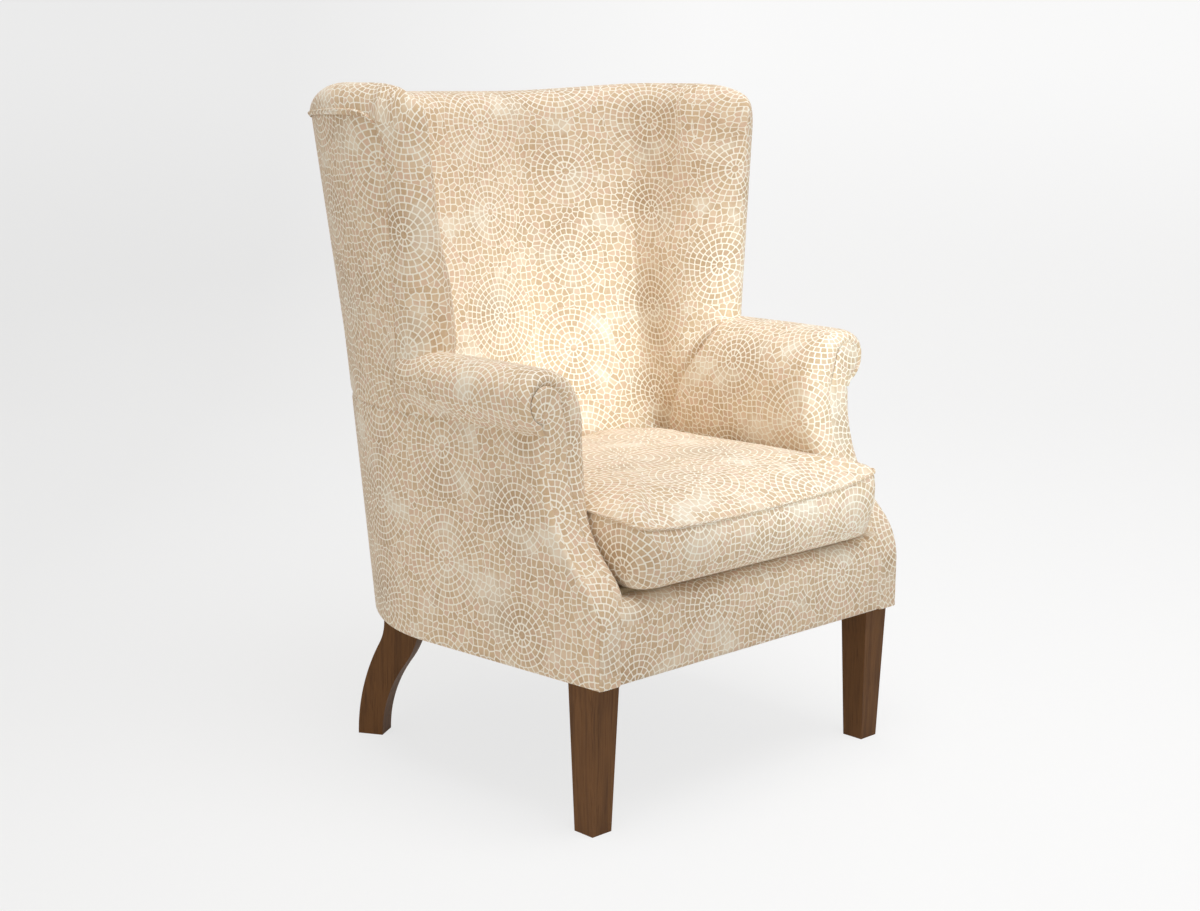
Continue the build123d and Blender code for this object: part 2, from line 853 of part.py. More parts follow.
def spring_path(x, start, end):
    """Zigzag of one spring: runs across joined by half turns, front rail to back rail."""
    pitch = (end - start) / spring_turns
    turn = pitch / 2
    reach = spring_half_width - turn
    edges = line((x, start), (x + reach, start))
    side = 1
    for index in range(spring_turns):
        y = start + index * pitch
        tip = (x + side * (reach + turn), y + turn)
        edges.append(arc((x + side * reach, y), tip, (x + side * reach, y + pitch)))
        last = x if index == spring_turns - 1 else x - side * reach
        edges += line((x + side * reach, y + pitch), (last, y + pitch))
        side = -side
    return Pos(0, 0, spring_height) * Wire(edges)


def make_springs_and_clips():
    """Zigzag springs, and the clips that hold their ends on the front and back rails."""
    springs, clips = [], []
    inner = frame_outer + back_rail_thickness / 2
    for x in spring_places:
        half, reach, middle = layer(rail_top, inner, inner)
        start = border_thickness + clear + front_rail_thickness / 2
        end = middle + reach * sqrt(1 - (x / half) ** 2)
        path = spring_path(x, start, end)
        section = Plane(origin=path @ 0, z_dir=path % 0) * Rectangle(spring_wire, spring_wire)
        springs.append(sweep(section, path))
        clips += [spring_clip(x, start, 0.0), spring_clip(x, end, 180.0)]
    return springs, clips


def spring_clip(x, y, turn):
    """Sheet clip on a rail, folded over the end of a spring and open towards the seat."""
    inner = spring_wire + 2 * clear
    outer = inner + 2 * clip_sheet
    shell = Box(clip_width, outer, outer) - Pos(0, clip_sheet, 0) * Box(clip_width, outer, inner)
    return Location((x, y, spring_height), (0, 0, turn)) * shell


def make_seat_deck():
    """Felt and hessian platform between the springs and the cushion."""
    front = front_rail_back + clear
    block = ruled([cushion_outline(z, deck_margin) for z in (deck_bottom, deck_top)])
    return block & Pos(0, front, deck_bottom) * Box(
        4 * cushion_half, 2 * cushion_rear, deck_thickness, align=(Align.CENTER, Align.MIN, Align.MIN)
    )


def leg_slots(gap):
    """Plan outlines of the four leg tops, with a gap round each."""
    size = front_leg_top + 2 * gap
    front = Pos(front_leg_half_spacing, front_leg_setback) * Rectangle(size, size)
    back_stride, front_stride = rear_leg_strides()
    rear = rear_leg_plane() * Pos((back_stride + front_stride) / 2, 0) * Rectangle(
        front_stride - back_stride + 2 * gap, rear_leg_thickness + 2 * gap
    )
    return [front, mirrored(front), rear, mirrored(rear)]


def make_dust_cover():
    """Thin cloth under the seat frame, cut out round the legs."""
    z = rail_bottom - clear - dust_cover_thickness
    inset = panel_inner + clear
    right = [(base_half_at(z, y, inset), y, z) for y in (front_rail_back, centre_setback(z))]
    left = [(-x, y, z) for x, y, _ in right]
    outline = [
        *line(left[1], left[0], right[0], right[1]),
        layer_arc(z, 90, -90, inset, inset),
    ]
    sheet = extrude(make_face(outline), amount=dust_cover_thickness)
    for slot in leg_slots(clear):
        sheet -= Pos(0, 0, z) * extrude(slot, amount=dust_cover_thickness, both=True)
    return sheet


def make_back_webbing():
    """Upright straps behind the inside back, from the lower rail to the top rail."""
    straps = []
    half_angle = degrees(webbing_width / 2 / barrel_reach)
    inner = (pad_to_outside_side - clear, pad_to_outside_rear - clear)
    outer = (inner[0] - webbing_thickness, inner[1] - webbing_thickness)
    heights = (lower_rail_bottom, arm_top, roll_bottom - clear)
    for angle in webbing_angles:
        first, last = angle - half_angle, angle + half_angle
        straps.append(ruled([band(z, first, last, inner, outer) for z in heights]))
    return straps


def dowel_joints():
    """Dowels of the right side: middle, direction, and the two pieces that each one joins."""
    low, high = rail_bottom + rail_height / 4, rail_top - rail_height / 4
    board_middle = facing_thickness + clear + scroll_board_thickness / 2
    rail_x = base_half_at(low, board_back, frame_outer + side_rail_thickness / 2)
    rear_x = base_side_half - frame_outer - side_rail_thickness / 2
    arm_x = board_inner + scroll_board_width - 2 * dowel_radius
    post_y = wing_seam_setback + clear + wing_post_depth / 2
    rail_middle = frame_outer + back_rail_thickness / 2
    foot = (half_at(rail_top, post_y, rail_middle, rail_middle), post_y, rail_top)
    top_x = half_at(top_rail_bottom, post_y, frame_outer, frame_outer) - wing_post_width_top / 2
    joints = []
    for z in (low, high):
        joints.append(((board_inner, board_middle, z), Axis.X, "front_seat_rail", "arm_scroll_board"))
        joints.append(((rail_x, board_back, z), Axis.Y, "side_seat_rail", "arm_scroll_board"))
        joints.append(((rear_x, centre_setback(z), z), Axis.Y, "side_seat_rail", "back_seat_rail"))
    joints.append((post_place(rail_top)[0], Axis.Z, "back_seat_rail", "back_post"))
    joints.append((post_place(top_rail_bottom)[0], Axis.Z, "back_top_rail", "back_post"))
    joints.append((foot, Axis.Z, "back_seat_rail", "wing_post"))
    joints.append(((top_x, post_y, top_rail_bottom), Axis.Z, "back_top_rail", "wing_post"))
    front, rear = arm_setback + board_back, wing_seam_setback + clear
    joints.append(((arm_x, front, roll_centre_height), Axis.Y, "arm_rail", "arm_scroll_board"))
    joints.append(((arm_x, rear, roll_centre_height), Axis.Y, "arm_rail", "wing_post"))
    return joints


def block_corner():
    """Corner where the right side rail meets the front rail, inside the seat frame."""
    face = base_half_at(rail_bottom, front_rail_back, frame_outer + side_rail_thickness)
    return Vector(face - clear, front_rail_back, rail_bottom)


def block_screws():
    """Corner block screws of the right side: point on the rail's face, direction, block and rail."""
    corner = block_corner()
    third = block_size * 0.35
    low, high = block_height * 0.3, block_height * 0.7
    x, y = rear_leg_top()
    turn = radians(rear_leg_turn_angle)
    outward, across = Vector(sin(turn), cos(turn)), Vector(cos(turn), -sin(turn))
    screws = [
        (corner + Vector(0, third, low), Vector(1, 0, 0), "front_block", "side_seat_rail"),
        (corner + Vector(-third, 0, high), Vector(0, -1, 0), "front_block", "front_seat_rail"),
    ]
    for shift in (-third, third):
        face = Vector(x, y, rail_bottom + block_height / 2) + across * shift
        screws.append((face + outward * rail_gap(face, outward), outward, "rear_block", "back_seat_rail"))
    return screws


def rail_gap(point, direction):
    """Distance from a point to the inside of the curved back rail, along a level direction."""
    inset = frame_outer + back_rail_thickness
    half, reach, middle = layer(point.Z, inset, inset)
    px, py = point.X / half, (point.Y - middle) / reach
    dx, dy = direction.X / half, direction.Y / reach
    square, cross, rest = dx * dx + dy * dy, px * dx + py * dy, px * px + py * py - 1
    return (sqrt(cross * cross - square * rest) - cross) / square


def make_screw(face, direction):
    """Countersunk screw driven through a block into a rail."""
    head_end = face - direction * (screw_length - screw_bite)
    shank = rod(head_end + direction * (screw_length / 2), direction, screw_radius, screw_length)
    return shank + rod(head_end - direction * (screw_head / 2), direction, screw_head_radius, screw_head)


def screw_hole(face, direction):
    """Pilot hole and open counterbore for a block screw."""
    head_end = face - direction * (screw_length - screw_bite)
    shank_middle = head_end + direction * (screw_length / 2)
    bore_middle = head_end - direction * (block_size / 2)
    pilot = rod(shank_middle, direction, screw_radius + hole_clear, screw_length + 2 * clear)
    return pilot + rod(bore_middle, direction, screw_head_radius + hole_clear, block_size)


def make_leg_bolt(x, y):
    """Hanger bolt from a leg up through its corner block."""
    low, high = rail_bottom - bolt_depth, rail_bottom + block_height + 2 * tee_flange
    return rod((x, y, (low + high) / 2), (0, 0, 1), bolt_radius, high - low)


def make_leg_hole(x, y):
    """Hole for a leg bolt, through the block and its nut and down into the leg."""
    low, high = rail_bottom - bolt_depth - clear, rail_bottom + block_height + 3 * tee_flange
    return rod((x, y, (low + high) / 2), (0, 0, 1), bolt_radius + hole_clear, high - low)


def make_tee_nut(x, y, gap=0.0):
    """Tee nut let into the top of a corner block. A gap widens its barrel into the hole cut for it."""
    top = rail_bottom + block_height
    flange = rod((x, y, top + tee_flange / 2), (0, 0, 1), tee_flange_radius, tee_flange)
    return flange + rod((x, y, top - tee_barrel / 2), (0, 0, 1), tee_barrel_radius + gap, tee_barrel + gap)


def leg_bolt_places():
    """Plan places of the right side's leg bolts, with the leg and the block that each one joins."""
    corner = block_corner()
    inward = block_size / 5
    front = (corner.X - inward, corner.Y + inward)
    return [(front, "front_leg", "front_block"), (rear_leg_top(), "rear_leg", "rear_block")]


def right_pieces():
    """Pieces that come in pairs, made for the right side."""
    return {
        "inside_wing": make_inside_wing(),
        "outside_arm": make_outside_arm(),
        "outside_wing": make_outside_wing(),
        "inside_arm": make_inside_arm(),
        "arm_facing": make_arm_facing(),
        "arm_scroll_board": make_scroll_board() - make_side_rail(),
        "arm_rail": make_arm_rail(),
        "side_seat_rail": make_side_rail(),
        "back_post": make_back_post(),
        "wing_post": make_wing_post(),
        "front_leg": make_front_leg(),
        "rear_leg": make_rear_leg(),
        "front_block": front_block(),
        "rear_block": rear_block(),
    }


def centre_pieces(post):
    """Pieces that the chair has once, or as one group."""
    springs, clips = make_springs_and_clips()
    return {
        "inside_back": make_inside_back(),
        "outside_back": make_outside_back(),
        "back_welt": make_back_welt(),
        "back_seat_rail": make_back_rail(),
        "back_lower_rail": make_lower_rail([post, mirrored(post)]),
        "back_top_rail": make_top_rail(),
        "front_seat_rail": make_front_rail(),
        "front_border": make_front_border(),
        "seat_cushion_cover": cushion_form(0.0) - cushion_form(cover_thickness),
        "seat_cushion_core": cushion_form(cover_thickness + clear),
        "cushion_zip": make_zip(),
        "zip_slider": make_zip_slider(),
        "seat_deck": make_seat_deck(),
        "dust_cover": make_dust_cover(),
        "back_webbing": Compound(make_back_webbing()),
        "seat_springs": Compound(springs),
        "spring_clips": Compound(clips),
    }


def build():
    """Every node of the chair, by name."""
    right = right_pieces()
    centre = centre_pieces(right["back_post"])

    def bore(hole, *names):
        for name in names:
            if name in right:
                right[name] -= hole
            else:
                centre[name] = centre[name] - hole - mirrored(hole)

    dowels, screws, bolts, nuts = [], [], [], []
    for middle, axis, first, second in dowel_joints():
        dowels.append(rod(middle, axis.direction, dowel_radius, dowel_length))
        bore(rod(middle, axis.direction, dowel_radius + hole_clear, dowel_length + 2 * clear), first, second)
    for face, direction, block, rail in block_screws():
        screws.append(make_screw(face, direction))
        bore(screw_hole(face, direction), block, rail)
    for (x, y), leg, block in leg_bolt_places():
        bolts.append(make_leg_bolt(x, y))
        nuts.append(make_tee_nut(x, y) - make_leg_hole(x, y))
        bore(make_leg_hole(x, y), leg, block)
        bore(make_tee_nut(x, y, hole_clear), block)

    pieces = dict(centre)
    blocks = [right.pop("front_block"), right.pop("rear_block")]
    groups = {
        "corner_blocks": blocks,
        "frame_dowels": dowels,
        "corner_block_screws": screws,
        "leg_bolts": bolts,
        "tee_nuts": nuts,
    }
    for name, members in groups.items():
        pieces[name] = Compound([*members, *(mirrored(member) for member in members)])
    for name, piece in right.items():
        pieces[name + "_right"] = piece
        pieces[name + "_left"] = mirrored(piece)
    return pieces


def save(pieces):
    """Write one file for each node, moved to the middle of the plan."""
    os.makedirs("parts", exist_ok=True)
    for name, piece in pieces.items():
        export_step(Pos(0, -plan_middle, 0) * piece, f"parts/{name}.step")


save(build())
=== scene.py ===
import json
import math

import bmesh
import bpy
import numpy as np
from mathutils import Matrix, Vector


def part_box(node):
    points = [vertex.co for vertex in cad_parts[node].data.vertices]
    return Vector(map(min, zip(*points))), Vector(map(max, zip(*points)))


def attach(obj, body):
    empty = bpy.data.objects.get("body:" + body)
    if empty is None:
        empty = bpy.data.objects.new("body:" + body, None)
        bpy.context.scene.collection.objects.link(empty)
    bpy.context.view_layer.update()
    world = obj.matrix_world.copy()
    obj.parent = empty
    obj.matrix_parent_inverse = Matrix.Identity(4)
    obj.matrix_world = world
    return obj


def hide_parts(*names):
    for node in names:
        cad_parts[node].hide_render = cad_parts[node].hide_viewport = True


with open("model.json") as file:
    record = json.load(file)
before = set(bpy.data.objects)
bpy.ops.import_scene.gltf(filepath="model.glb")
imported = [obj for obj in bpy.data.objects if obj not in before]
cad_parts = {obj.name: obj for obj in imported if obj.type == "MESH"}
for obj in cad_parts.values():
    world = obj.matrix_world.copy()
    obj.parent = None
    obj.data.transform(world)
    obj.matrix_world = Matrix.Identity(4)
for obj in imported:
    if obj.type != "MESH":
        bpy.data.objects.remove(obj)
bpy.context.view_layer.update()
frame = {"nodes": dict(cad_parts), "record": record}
scene = bpy.context.scene

# Sizes of the chair in millimetres. Setbacks run back from the base's front face.
CUSHION_OVERHANG = 12.0
MIDDLE = -CUSHION_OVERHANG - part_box("seat_cushion_cover")[0].y * 1000
WING_THICKNESS, BACK_THICKNESS = 74.0, 146.0
WING_SEAM, WING_NOSE = 407.0, 382.0
ARM_TOP, ARM_SEAM = 650.0, 560.0
VALLEY, WING_VALLEY = 23.0, 64.0
WELT, WELT_FRONT = 985.0, 955.0
NOSE_R = 37.0
ROLL_X, ROLL_Z, ROLL_R, ROLL_LOW = 325.0, 610.0, 40.5, 47.0
HEAD_X, HEAD_Z, HEAD_R = 324.5, 602.5, 27.0
BASE_BOTTOM = 220.0
ARM_INNER, BOARD_INNER, BOARD_OUTER = 262.0, 286.0, 325.5
CLOTH = 3.0
BASE_HALF, FRONT_HALF, SIDE_FLARE = 353.0, 329.0, 3.55
CENTRE_SETBACK, CENTRE_RAKE = 365.0, 7.6
REAR_REACH, REACH_LEAN = 320.0, 2.44
ARM_FOOT, ARM_SWELL, CROWN_START = 286.0, 20.0, 560.0
SHOULDER_Z, SHOULDER_R, NECK_R, SWEEP_TURN = 295.0, 105.0, 235.0, 47.4
SEAT_LEVEL = 346.0
CUSHION_HALF, CUSHION_REAR, CUSHION_CROWN = 259.0, 542.0, 467.0
CUSHION_MIDDLE = np.array([0.0, 262.0])
CUSHION_POINTS, SETTLE_FRAMES = 288, 20
FAR = 999.0

# Stations round the back: the rear side seam, the wing seam, the start and the tip of the wing nose.
SIDE_SEAM, SEAM_SPREAD = 42.0, 5.6
SEAM_P, CAP_P, TIP_P = 99.0, 105.0, 120.0


# Helpers for lines and grids of points
def arrays(*values):
    """Values as arrays of one common shape."""
    return np.broadcast_arrays(*(np.asarray(value, float) for value in values))


def pair(first, second):
    """Points from their two coordinates."""
    return np.stack(np.broadcast_arrays(first, second), -1)


def run_along(line):
    """Running length along a line of points."""
    return np.concatenate([[0.0], np.cumsum(np.linalg.norm(np.diff(line, axis=0), axis=-1))])


# Layout of the back
def tangent(degrees):
    return math.tan(math.radians(degrees))


def side(z):
    """Half width of the outside at a height, with the flare above the arms eased in."""
    t = z - ARM_TOP
    return BASE_HALF + 0.5 * (t + np.sqrt(t * t + 900.0)) * tangent(SIDE_FLARE)


def centre(z):
    return CENTRE_SETBACK + (z - BASE_BOTTOM) * tangent(CENTRE_RAKE)


def reach(z):
    return REAR_REACH + (z - BASE_BOTTOM) * tangent(REACH_LEAN)


def smooth(low, high, value):
    t = np.clip((value - low) / (high - low), 0.0, 1.0)
    return t * t * (3.0 - 2.0 * t)


def station(q, z, inset_side, inset_rear):
    """Plan point at station q: an angle up to 90, then 100 at the wing seam and 110 at the wing nose."""
    q, z, inset_side, inset_rear = arrays(q, z, inset_side, inset_rear)
    sign, a = np.sign(q), np.abs(q)
    angle = np.radians(np.minimum(a, 90.0))
    half = side(z) - inset_side
    x = half * np.sin(angle)
    s = centre(z) + (reach(z) - inset_rear) * np.cos(angle)
    s = np.where(a > 90.0, centre(z) + (WING_SEAM - centre(z)) * (np.minimum(a, 100.0) - 90.0) / 10.0, s)
    s = np.where(a > 100.0, WING_SEAM + (WING_NOSE - WING_SEAM) * (a - 100.0) / 10.0, s)
    return sign * x, s


def hermite(start, start_way, end, end_way, count):
    t = np.linspace(0.0, 1.0, count)[:, None]
    size = np.linalg.norm(np.subtract(end, start))
    a, b = np.asarray(start, float), np.asarray(end, float)
    m, n = np.asarray(start_way, float) * size, np.asarray(end_way, float) * size
    ends = (2 * t**3 - 3 * t**2 + 1) * a + (t**3 - 2 * t**2 + t) * m
    return ends + (3 * t**2 - 2 * t**3) * b + (t**3 - t**2) * n


def circle(x, z, radius, first, last, count):
    angle = np.radians(np.linspace(first, last, count))
    return pair(x + radius * np.cos(angle), z + radius * np.sin(angle))


def arm_profile():
    """Front view of the right arm pad, deck to the top of its roll, and of the facing's edge beside it."""
    z = np.linspace(ARM_FOOT, SEAT_LEVEL, 9)[:-1]
    z = np.concatenate([z, np.linspace(SEAT_LEVEL, 412.0, 8), np.linspace(412.0, CROWN_START, 18)[1:]])
    foot = (BOARD_INNER - ARM_INNER) * (1.0 - smooth(ARM_FOOT, 352.0, z))
    wall = pair(ARM_INNER + foot - ARM_SWELL * smooth(405.0, 515.0, z), z)
    turn = np.radians(np.linspace(0.0, 90.0, 19))[1:]
    crown = pair(
        ROLL_X - (ROLL_X - ARM_INNER + ARM_SWELL) * np.clip(np.cos(turn), 0.0, 1.0) ** (1.0 / 1.1),
        CROWN_START + (ARM_TOP - CROWN_START) * np.sin(turn) ** (1.0 / 1.1),
    )
    stem_top = 556.0
    stem = pair(BOARD_INNER, np.minimum(z, stem_top))
    stem[-4:, 1] = np.linspace(stem[-5, 1], stem_top, 5)[1:]
    cheek = circle(HEAD_X, HEAD_Z, HEAD_R, 170, 170, 1)[0]
    lean = hermite((BOARD_INNER, stem_top), (0.0, 1.0), cheek, (0.17, 0.985), 10)[1:]
    head = circle(HEAD_X, HEAD_Z, HEAD_R, 170.0, 90.0, 10)[1:]
    return np.concatenate([wall, crown]), np.concatenate([stem, lean, head])


def outer_edge():
    """Edge of the facing from the top of its head down the outside to the roll's seam."""
    over = circle(HEAD_X, HEAD_Z, HEAD_R, 90.0, -74.0, 34)[1:]
    return np.concatenate([over, [[BOARD_OUTER + 0.8, ARM_SEAM - 0.4]]])


def arm_seam_setback(z):
    """Setback where the arm pad tucks behind the wing and the back."""
    height = [SEAT_LEVEL, 400.0, 468.0, 520.0, 560.0, 600.0, 651.0]
    return np.interp(z, height, [456.0, 450.0, 437.0, 413.0, 393.0, 369.0, 347.0])


def arm_face(z):
    """Half width inside the arms at a height, up to the top of their rolls."""
    return np.interp(z, ARM_SKIN[:ARM_CREST, 1], ARM_SKIN[:ARM_CREST, 0])


ARM_SKIN, ARM_EDGE = arm_profile()
ARM_CREST = len(ARM_SKIN)


def flute_drop(q, z):
    """How far the face sinks towards a valley between two flutes, less so at the roll and near the seat."""
    fade = (1.0 - 0.6 * smooth(880.0, 1000.0, z)) * (0.1 + 0.9 * smooth(470.0, 640.0, z))
    a = np.abs(q)
    middle = 0.5 * (VALLEY + WING_VALLEY)
    across = np.where(a <= VALLEY, a / VALLEY, np.abs(a - middle) / (middle - VALLEY))
    across = np.where(a > WING_VALLEY, np.clip((86.0 - a) / (86.0 - WING_VALLEY), 0.0, 1.0), across)
    depth = np.where(a <= middle, 23.0, 12.0) * fade
    return depth * (0.65 * across**2 + 0.35 * (0.5 - 0.5 * np.cos(math.pi * across)))


def wing_thickness(z):
    """Wing pads are as full as the arms where they meet and thinner towards the top."""
    height = [440.0, 520.0, 700.0, 750.0, 781.0, 824.0, 880.0]
    return np.interp(z, height, [79.0, 104.0, 104.0, 100.0, 93.0, 85.0, 80.0])


def nose_power(z):
    """Roundness of the wing's inner edge: 2 for an ellipse below, 1 for a plain slope near the top."""
    return np.interp(z, [750.0, 824.0, 903.0, 940.0], [2.0, 1.75, 1.6, 1.1])


def inner_face(p, z):
    """Plan point of the pad's face at station p, an angle up to 90 and then round the wing nose to 120."""
    p, z = arrays(p, z)
    sign, a = np.sign(p), np.abs(p)
    drop = flute_drop(a, z)
    full = WING_THICKNESS + (wing_thickness(z) - WING_THICKNESS) * smooth(46.0, 88.0, a)
    x, s = station(np.minimum(a, 90.0), z, full - drop, BACK_THICKNESS - drop)
    turn = np.radians(np.clip(a - 90.0, 0.0, 30.0) * 3.0)
    tip_s = WING_NOSE - NOSE_R
    power = 2.0 / nose_power(z)
    nose_x = side(z) - NOSE_R - (wing_thickness(z) - NOSE_R) * np.clip(np.cos(turn), 0.0, 1.0) ** power
    nose_s = centre(z) - (centre(z) - tip_s) * np.sin(turn) ** power
    x = np.where(a > 90.0, nose_x, x)
    s = np.where(a > 90.0, nose_s, s)
    over = arm_face(z) + 7.0 - x
    near = 1.0 - smooth(6.0, 55.0, s - arm_seam_setback(z))
    near = near * (1.0 - smooth(618.0, 653.0, z)) * (a > WING_VALLEY) * (a < TIP_P - 1.0)
    return sign * (x + np.maximum(over, 0.0) * near), s


def outer_face(p, z, swell):
    """Plan point outside the pad: the barrel, straight to the wing seam, then round the nose."""
    p, z, swell = arrays(p, z, swell)
    sign, a = np.sign(p), np.abs(p)
    q = np.where(a <= 90.0, a, np.where(a <= SEAM_P, 90.0 + (a - 90.0) / 0.9, 100.0 + (a - SEAM_P) / 0.6))
    x, s = station(np.minimum(q, 110.0), z, -swell, -swell)
    turn = np.radians(np.clip(a - CAP_P, 0.0, TIP_P - CAP_P) * 6.0)
    x = np.where(a > CAP_P, side(z) + swell - NOSE_R * (1.0 - np.cos(turn)), x)
    s = np.where(a > CAP_P, WING_NOSE - NOSE_R * np.sin(turn), s)
    return sign * x, s


def roll_top(p):
    """Height of the top line, a little lower across the middle of the back."""
    return 1018.0 + 15.0 * smooth(18.0, 74.0, np.abs(p))


def roll_rise(p):
    return 46.0 - 3.0 * smooth(50.0, 88.0, np.abs(p)) + 24.0 * smooth(88.0, 113.0, np.abs(p))


def roll_base(p):
    """Height where the roll starts to turn over, lower towards the nose."""
    return roll_top(p) - roll_rise(p)


def roll_height(p):
    """Rise of the roll above its base, closing to nothing at the tip of the nose."""
    t = np.clip((np.abs(p) - 90.0) / 30.0, 0.0, 1.0)
    return roll_rise(p) * np.clip(1.0 - t**2.2, 0.0, 1.0) ** 0.556


def welt_height(p):
    """Height of the piping under the roll, turning down into the wing seam."""
    a = np.abs(p)
    t = np.clip((a - 88.0) / 11.0, 0.0, 1.0)
    level = WELT + 2.0 + 8.0 * smooth(50.0, 86.0, a)
    return level - (level - WELT_FRONT) * (1.0 - np.sqrt(np.clip(1.0 - t * t, 0.0, 1.0)))


def roll_swell(p, z):
    """Outward swell of the top roll over the welt, gone at the wing nose."""
    low = smooth(0.0, 16.0, z - welt_height(p))
    return (1.5 + 7.0 * low) * (1.0 - smooth(97.0, 105.0, np.abs(p)))


# Cloth meshes
def place(x, s, z):
    x, s, z = arrays(x, s, z)
    return np.stack([x, s - MIDDLE, z], -1) / 1000.0


def lengths(points, axis):
    """Running length along one axis of a grid of points, in metres."""
    step = np.linalg.norm(np.diff(points, axis=axis), axis=-1)
    total = np.cumsum(step, axis=axis)
    pad = [(0, 0), (0, 0)]
    pad[axis] = (1, 0)
    return np.pad(total, pad)


def make_piece(name, grids, thickness=CLOTH, merge=0.00008, outward=None):
    """One piece of cloth from grids of (points, cloth coordinates), joined where their edges meet."""
    bm = bmesh.new()
    uv_layer = bm.loops.layers.uv.new("cloth")
    for points, cloth in grids:
        rows, cols = points.shape[:2]
        verts = [[bm.verts.new(points[i, j]) for j in range(cols)] for i in range(rows)]
        for i in range(rows - 1):
            for j in range(cols - 1):
                corners = ((i, j), (i, j + 1), (i + 1, j + 1), (i + 1, j))
                try:
                    face = bm.faces.new([verts[a][b] for a, b in corners])
                except ValueError:
                    continue
                face.smooth = True
                for loop, (a, b) in zip(face.loops, corners):
                    loop[uv_layer].uv = cloth[a, b]
    bmesh.ops.remove_doubles(bm, verts=bm.verts, dist=merge)
    bmesh.ops.dissolve_degenerate(bm, edges=bm.edges, dist=merge)
    bmesh.ops.recalc_face_normals(bm, faces=bm.faces)
    if outward is not None:
        point, direction = outward
        near = min(bm.faces, key=lambda f: sum((a - b) ** 2 for a, b in zip(f.calc_center_median(), point)))
        if sum(a * b for a, b in zip(near.normal, direction)) < 0:
            bmesh.ops.reverse_faces(bm, faces=bm.faces)
    mesh = bpy.data.meshes.new(name)
    bm.to_mesh(mesh)
    bm.free()
    piece = bpy.data.objects.new(name, mesh)
    scene.collection.objects.link(piece)
    return thicken(piece, thickness) if thickness else piece


def thicken(piece, thickness):
    """Give a cover the thickness of its cloth, inwards."""
    shell = piece.modifiers.new("thickness", "SOLIDIFY")
    shell.thickness = thickness / 1000.0
    shell.offset = -1.0
    apply_modifiers(piece)
    return piece


def apply_modifiers(piece):
    evaluated = piece.evaluated_get(bpy.context.evaluated_depsgraph_get())
    mesh = bpy.data.meshes.new_from_object(evaluated)
    piece.modifiers.clear()
    piece.data = mesh
    mesh.shade_smooth()
    mesh.set_sharp_from_angle(angle=math.radians(50.0))


def mirror_grids(grids):
    return [(points * np.array([-1.0, 1.0, 1.0]), cloth * np.array([-1.0, 1.0])) for points, cloth in grids]


def shift_cloth(grids, du, dv):
    return [(points, cloth + np.array([du, dv])) for points, cloth in grids]


def eased(count, power=1.6):
    """Values from 0 to 1, closer together near both ends."""
    t = np.linspace(-1.0, 1.0, count)
    return 0.5 + 0.5 * np.sign(t) * (1.0 - (1.0 - np.abs(t)) ** power)


def tuck(distance, depth=2.6, width=4.5):
    """How far cloth is pulled in near a seam."""
    return depth * np.exp(-(distance / width) ** 2)


# Back and wings
CAP_STEPS = 20
WING_FOOT = 30
FACE_ROWS = np.linspace(338.0, 625.0, WING_FOOT + 1)[:-1]
FACE_ROWS = np.concatenate([FACE_ROWS, np.linspace(625.0, WELT_FRONT, 35)])


def cap_shape(k, power, ridge):
    """Share across the roll and share of its rise at a step over the top, rounder on the outer side."""
    angle = math.pi * k / CAP_STEPS
    c, s = math.cos(angle), math.sin(angle)
    if c > 0.0:
        return ridge * (1.0 - c ** (2.0 / power)), s ** (2.0 / power)
    return ridge + (1.0 - ridge) * -math.copysign(abs(c) ** (2.0 / 1.9), c), abs(s) ** (2.0 / 1.9)


def face_side(p):
    """Grid of the pad from the deck up its face to the top of the roll."""
    p = np.asarray(p, float)
    rows = [place(*inner_face(p, z), z) for z in FACE_ROWS]
    for share in np.linspace(0.0, 1.0, 5)[1:]:
        z = WELT_FRONT + (roll_base(p) - WELT_FRONT) * share
        rows.append(place(*inner_face(p, z), z))
    return np.array(rows + cap_rows(p, range(1, CAP_STEPS // 2 + 1)))


def rear_side(p, foot=None):
    """Grid of the pad from the top of the roll down its outside to the welt, or to a foot below it."""
    p = np.asarray(p, float)
    rows = cap_rows(p, range(CAP_STEPS // 2, CAP_STEPS))
    for share in np.linspace(1.0, 0.0, 5):
        z = welt_height(p) + (roll_base(p) - welt_height(p)) * share
        rows.append(place(*outer_face(p, z, roll_swell(p, z)), z))
    if foot is not None:
        for z in FACE_ROWS[WING_FOOT:-1][::-1]:
            x, s = outer_face(p, z, 0.0)
            seam = np.where(np.abs(p) < CAP_P, WING_SEAM - s, FAR)
            rows.append(place(x - tuck(seam, 3.8, 1.9), s, z))
    return np.array(rows)


def cap_rows(p, steps):
    rows = []
    base, height = roll_base(p), roll_height(p)
    power = 2.0 + 0.6 * (1.0 - smooth(40.0, 80.0, np.abs(p)))
    ridge = 0.42 + 0.08 * smooth(60.0, 90.0, np.abs(p))
    for k in steps:
        across, rise = np.array([cap_shape(k, *pair) for pair in zip(power, ridge)]).T
        z = base + height * rise
        xi, si = inner_face(p, z)
        xo, so = outer_face(p, z, roll_swell(p, base))
        rows.append(place(xi + (xo - xi) * across, si + (so - si) * across, z))
    return rows


def face_lengths(p):
    """Length along the pad's face at each station, from the first one, in metres."""
    return run_along(place(*inner_face(p, 800.0), 800.0))


def flute_stations(edges, count):
    """Stations that crowd a little towards the valleys."""
    parts = [a + (b - a) * eased(count, 1.2)[:-1] for a, b in zip(edges, edges[1:])]
    return np.concatenate([*parts, [edges[-1]]])


BACK_STATIONS = flute_stations((-WING_VALLEY, -VALLEY, VALLEY, WING_VALLEY), 31)
BACK_HALF = face_lengths(BACK_STATIONS)[-1] / 2


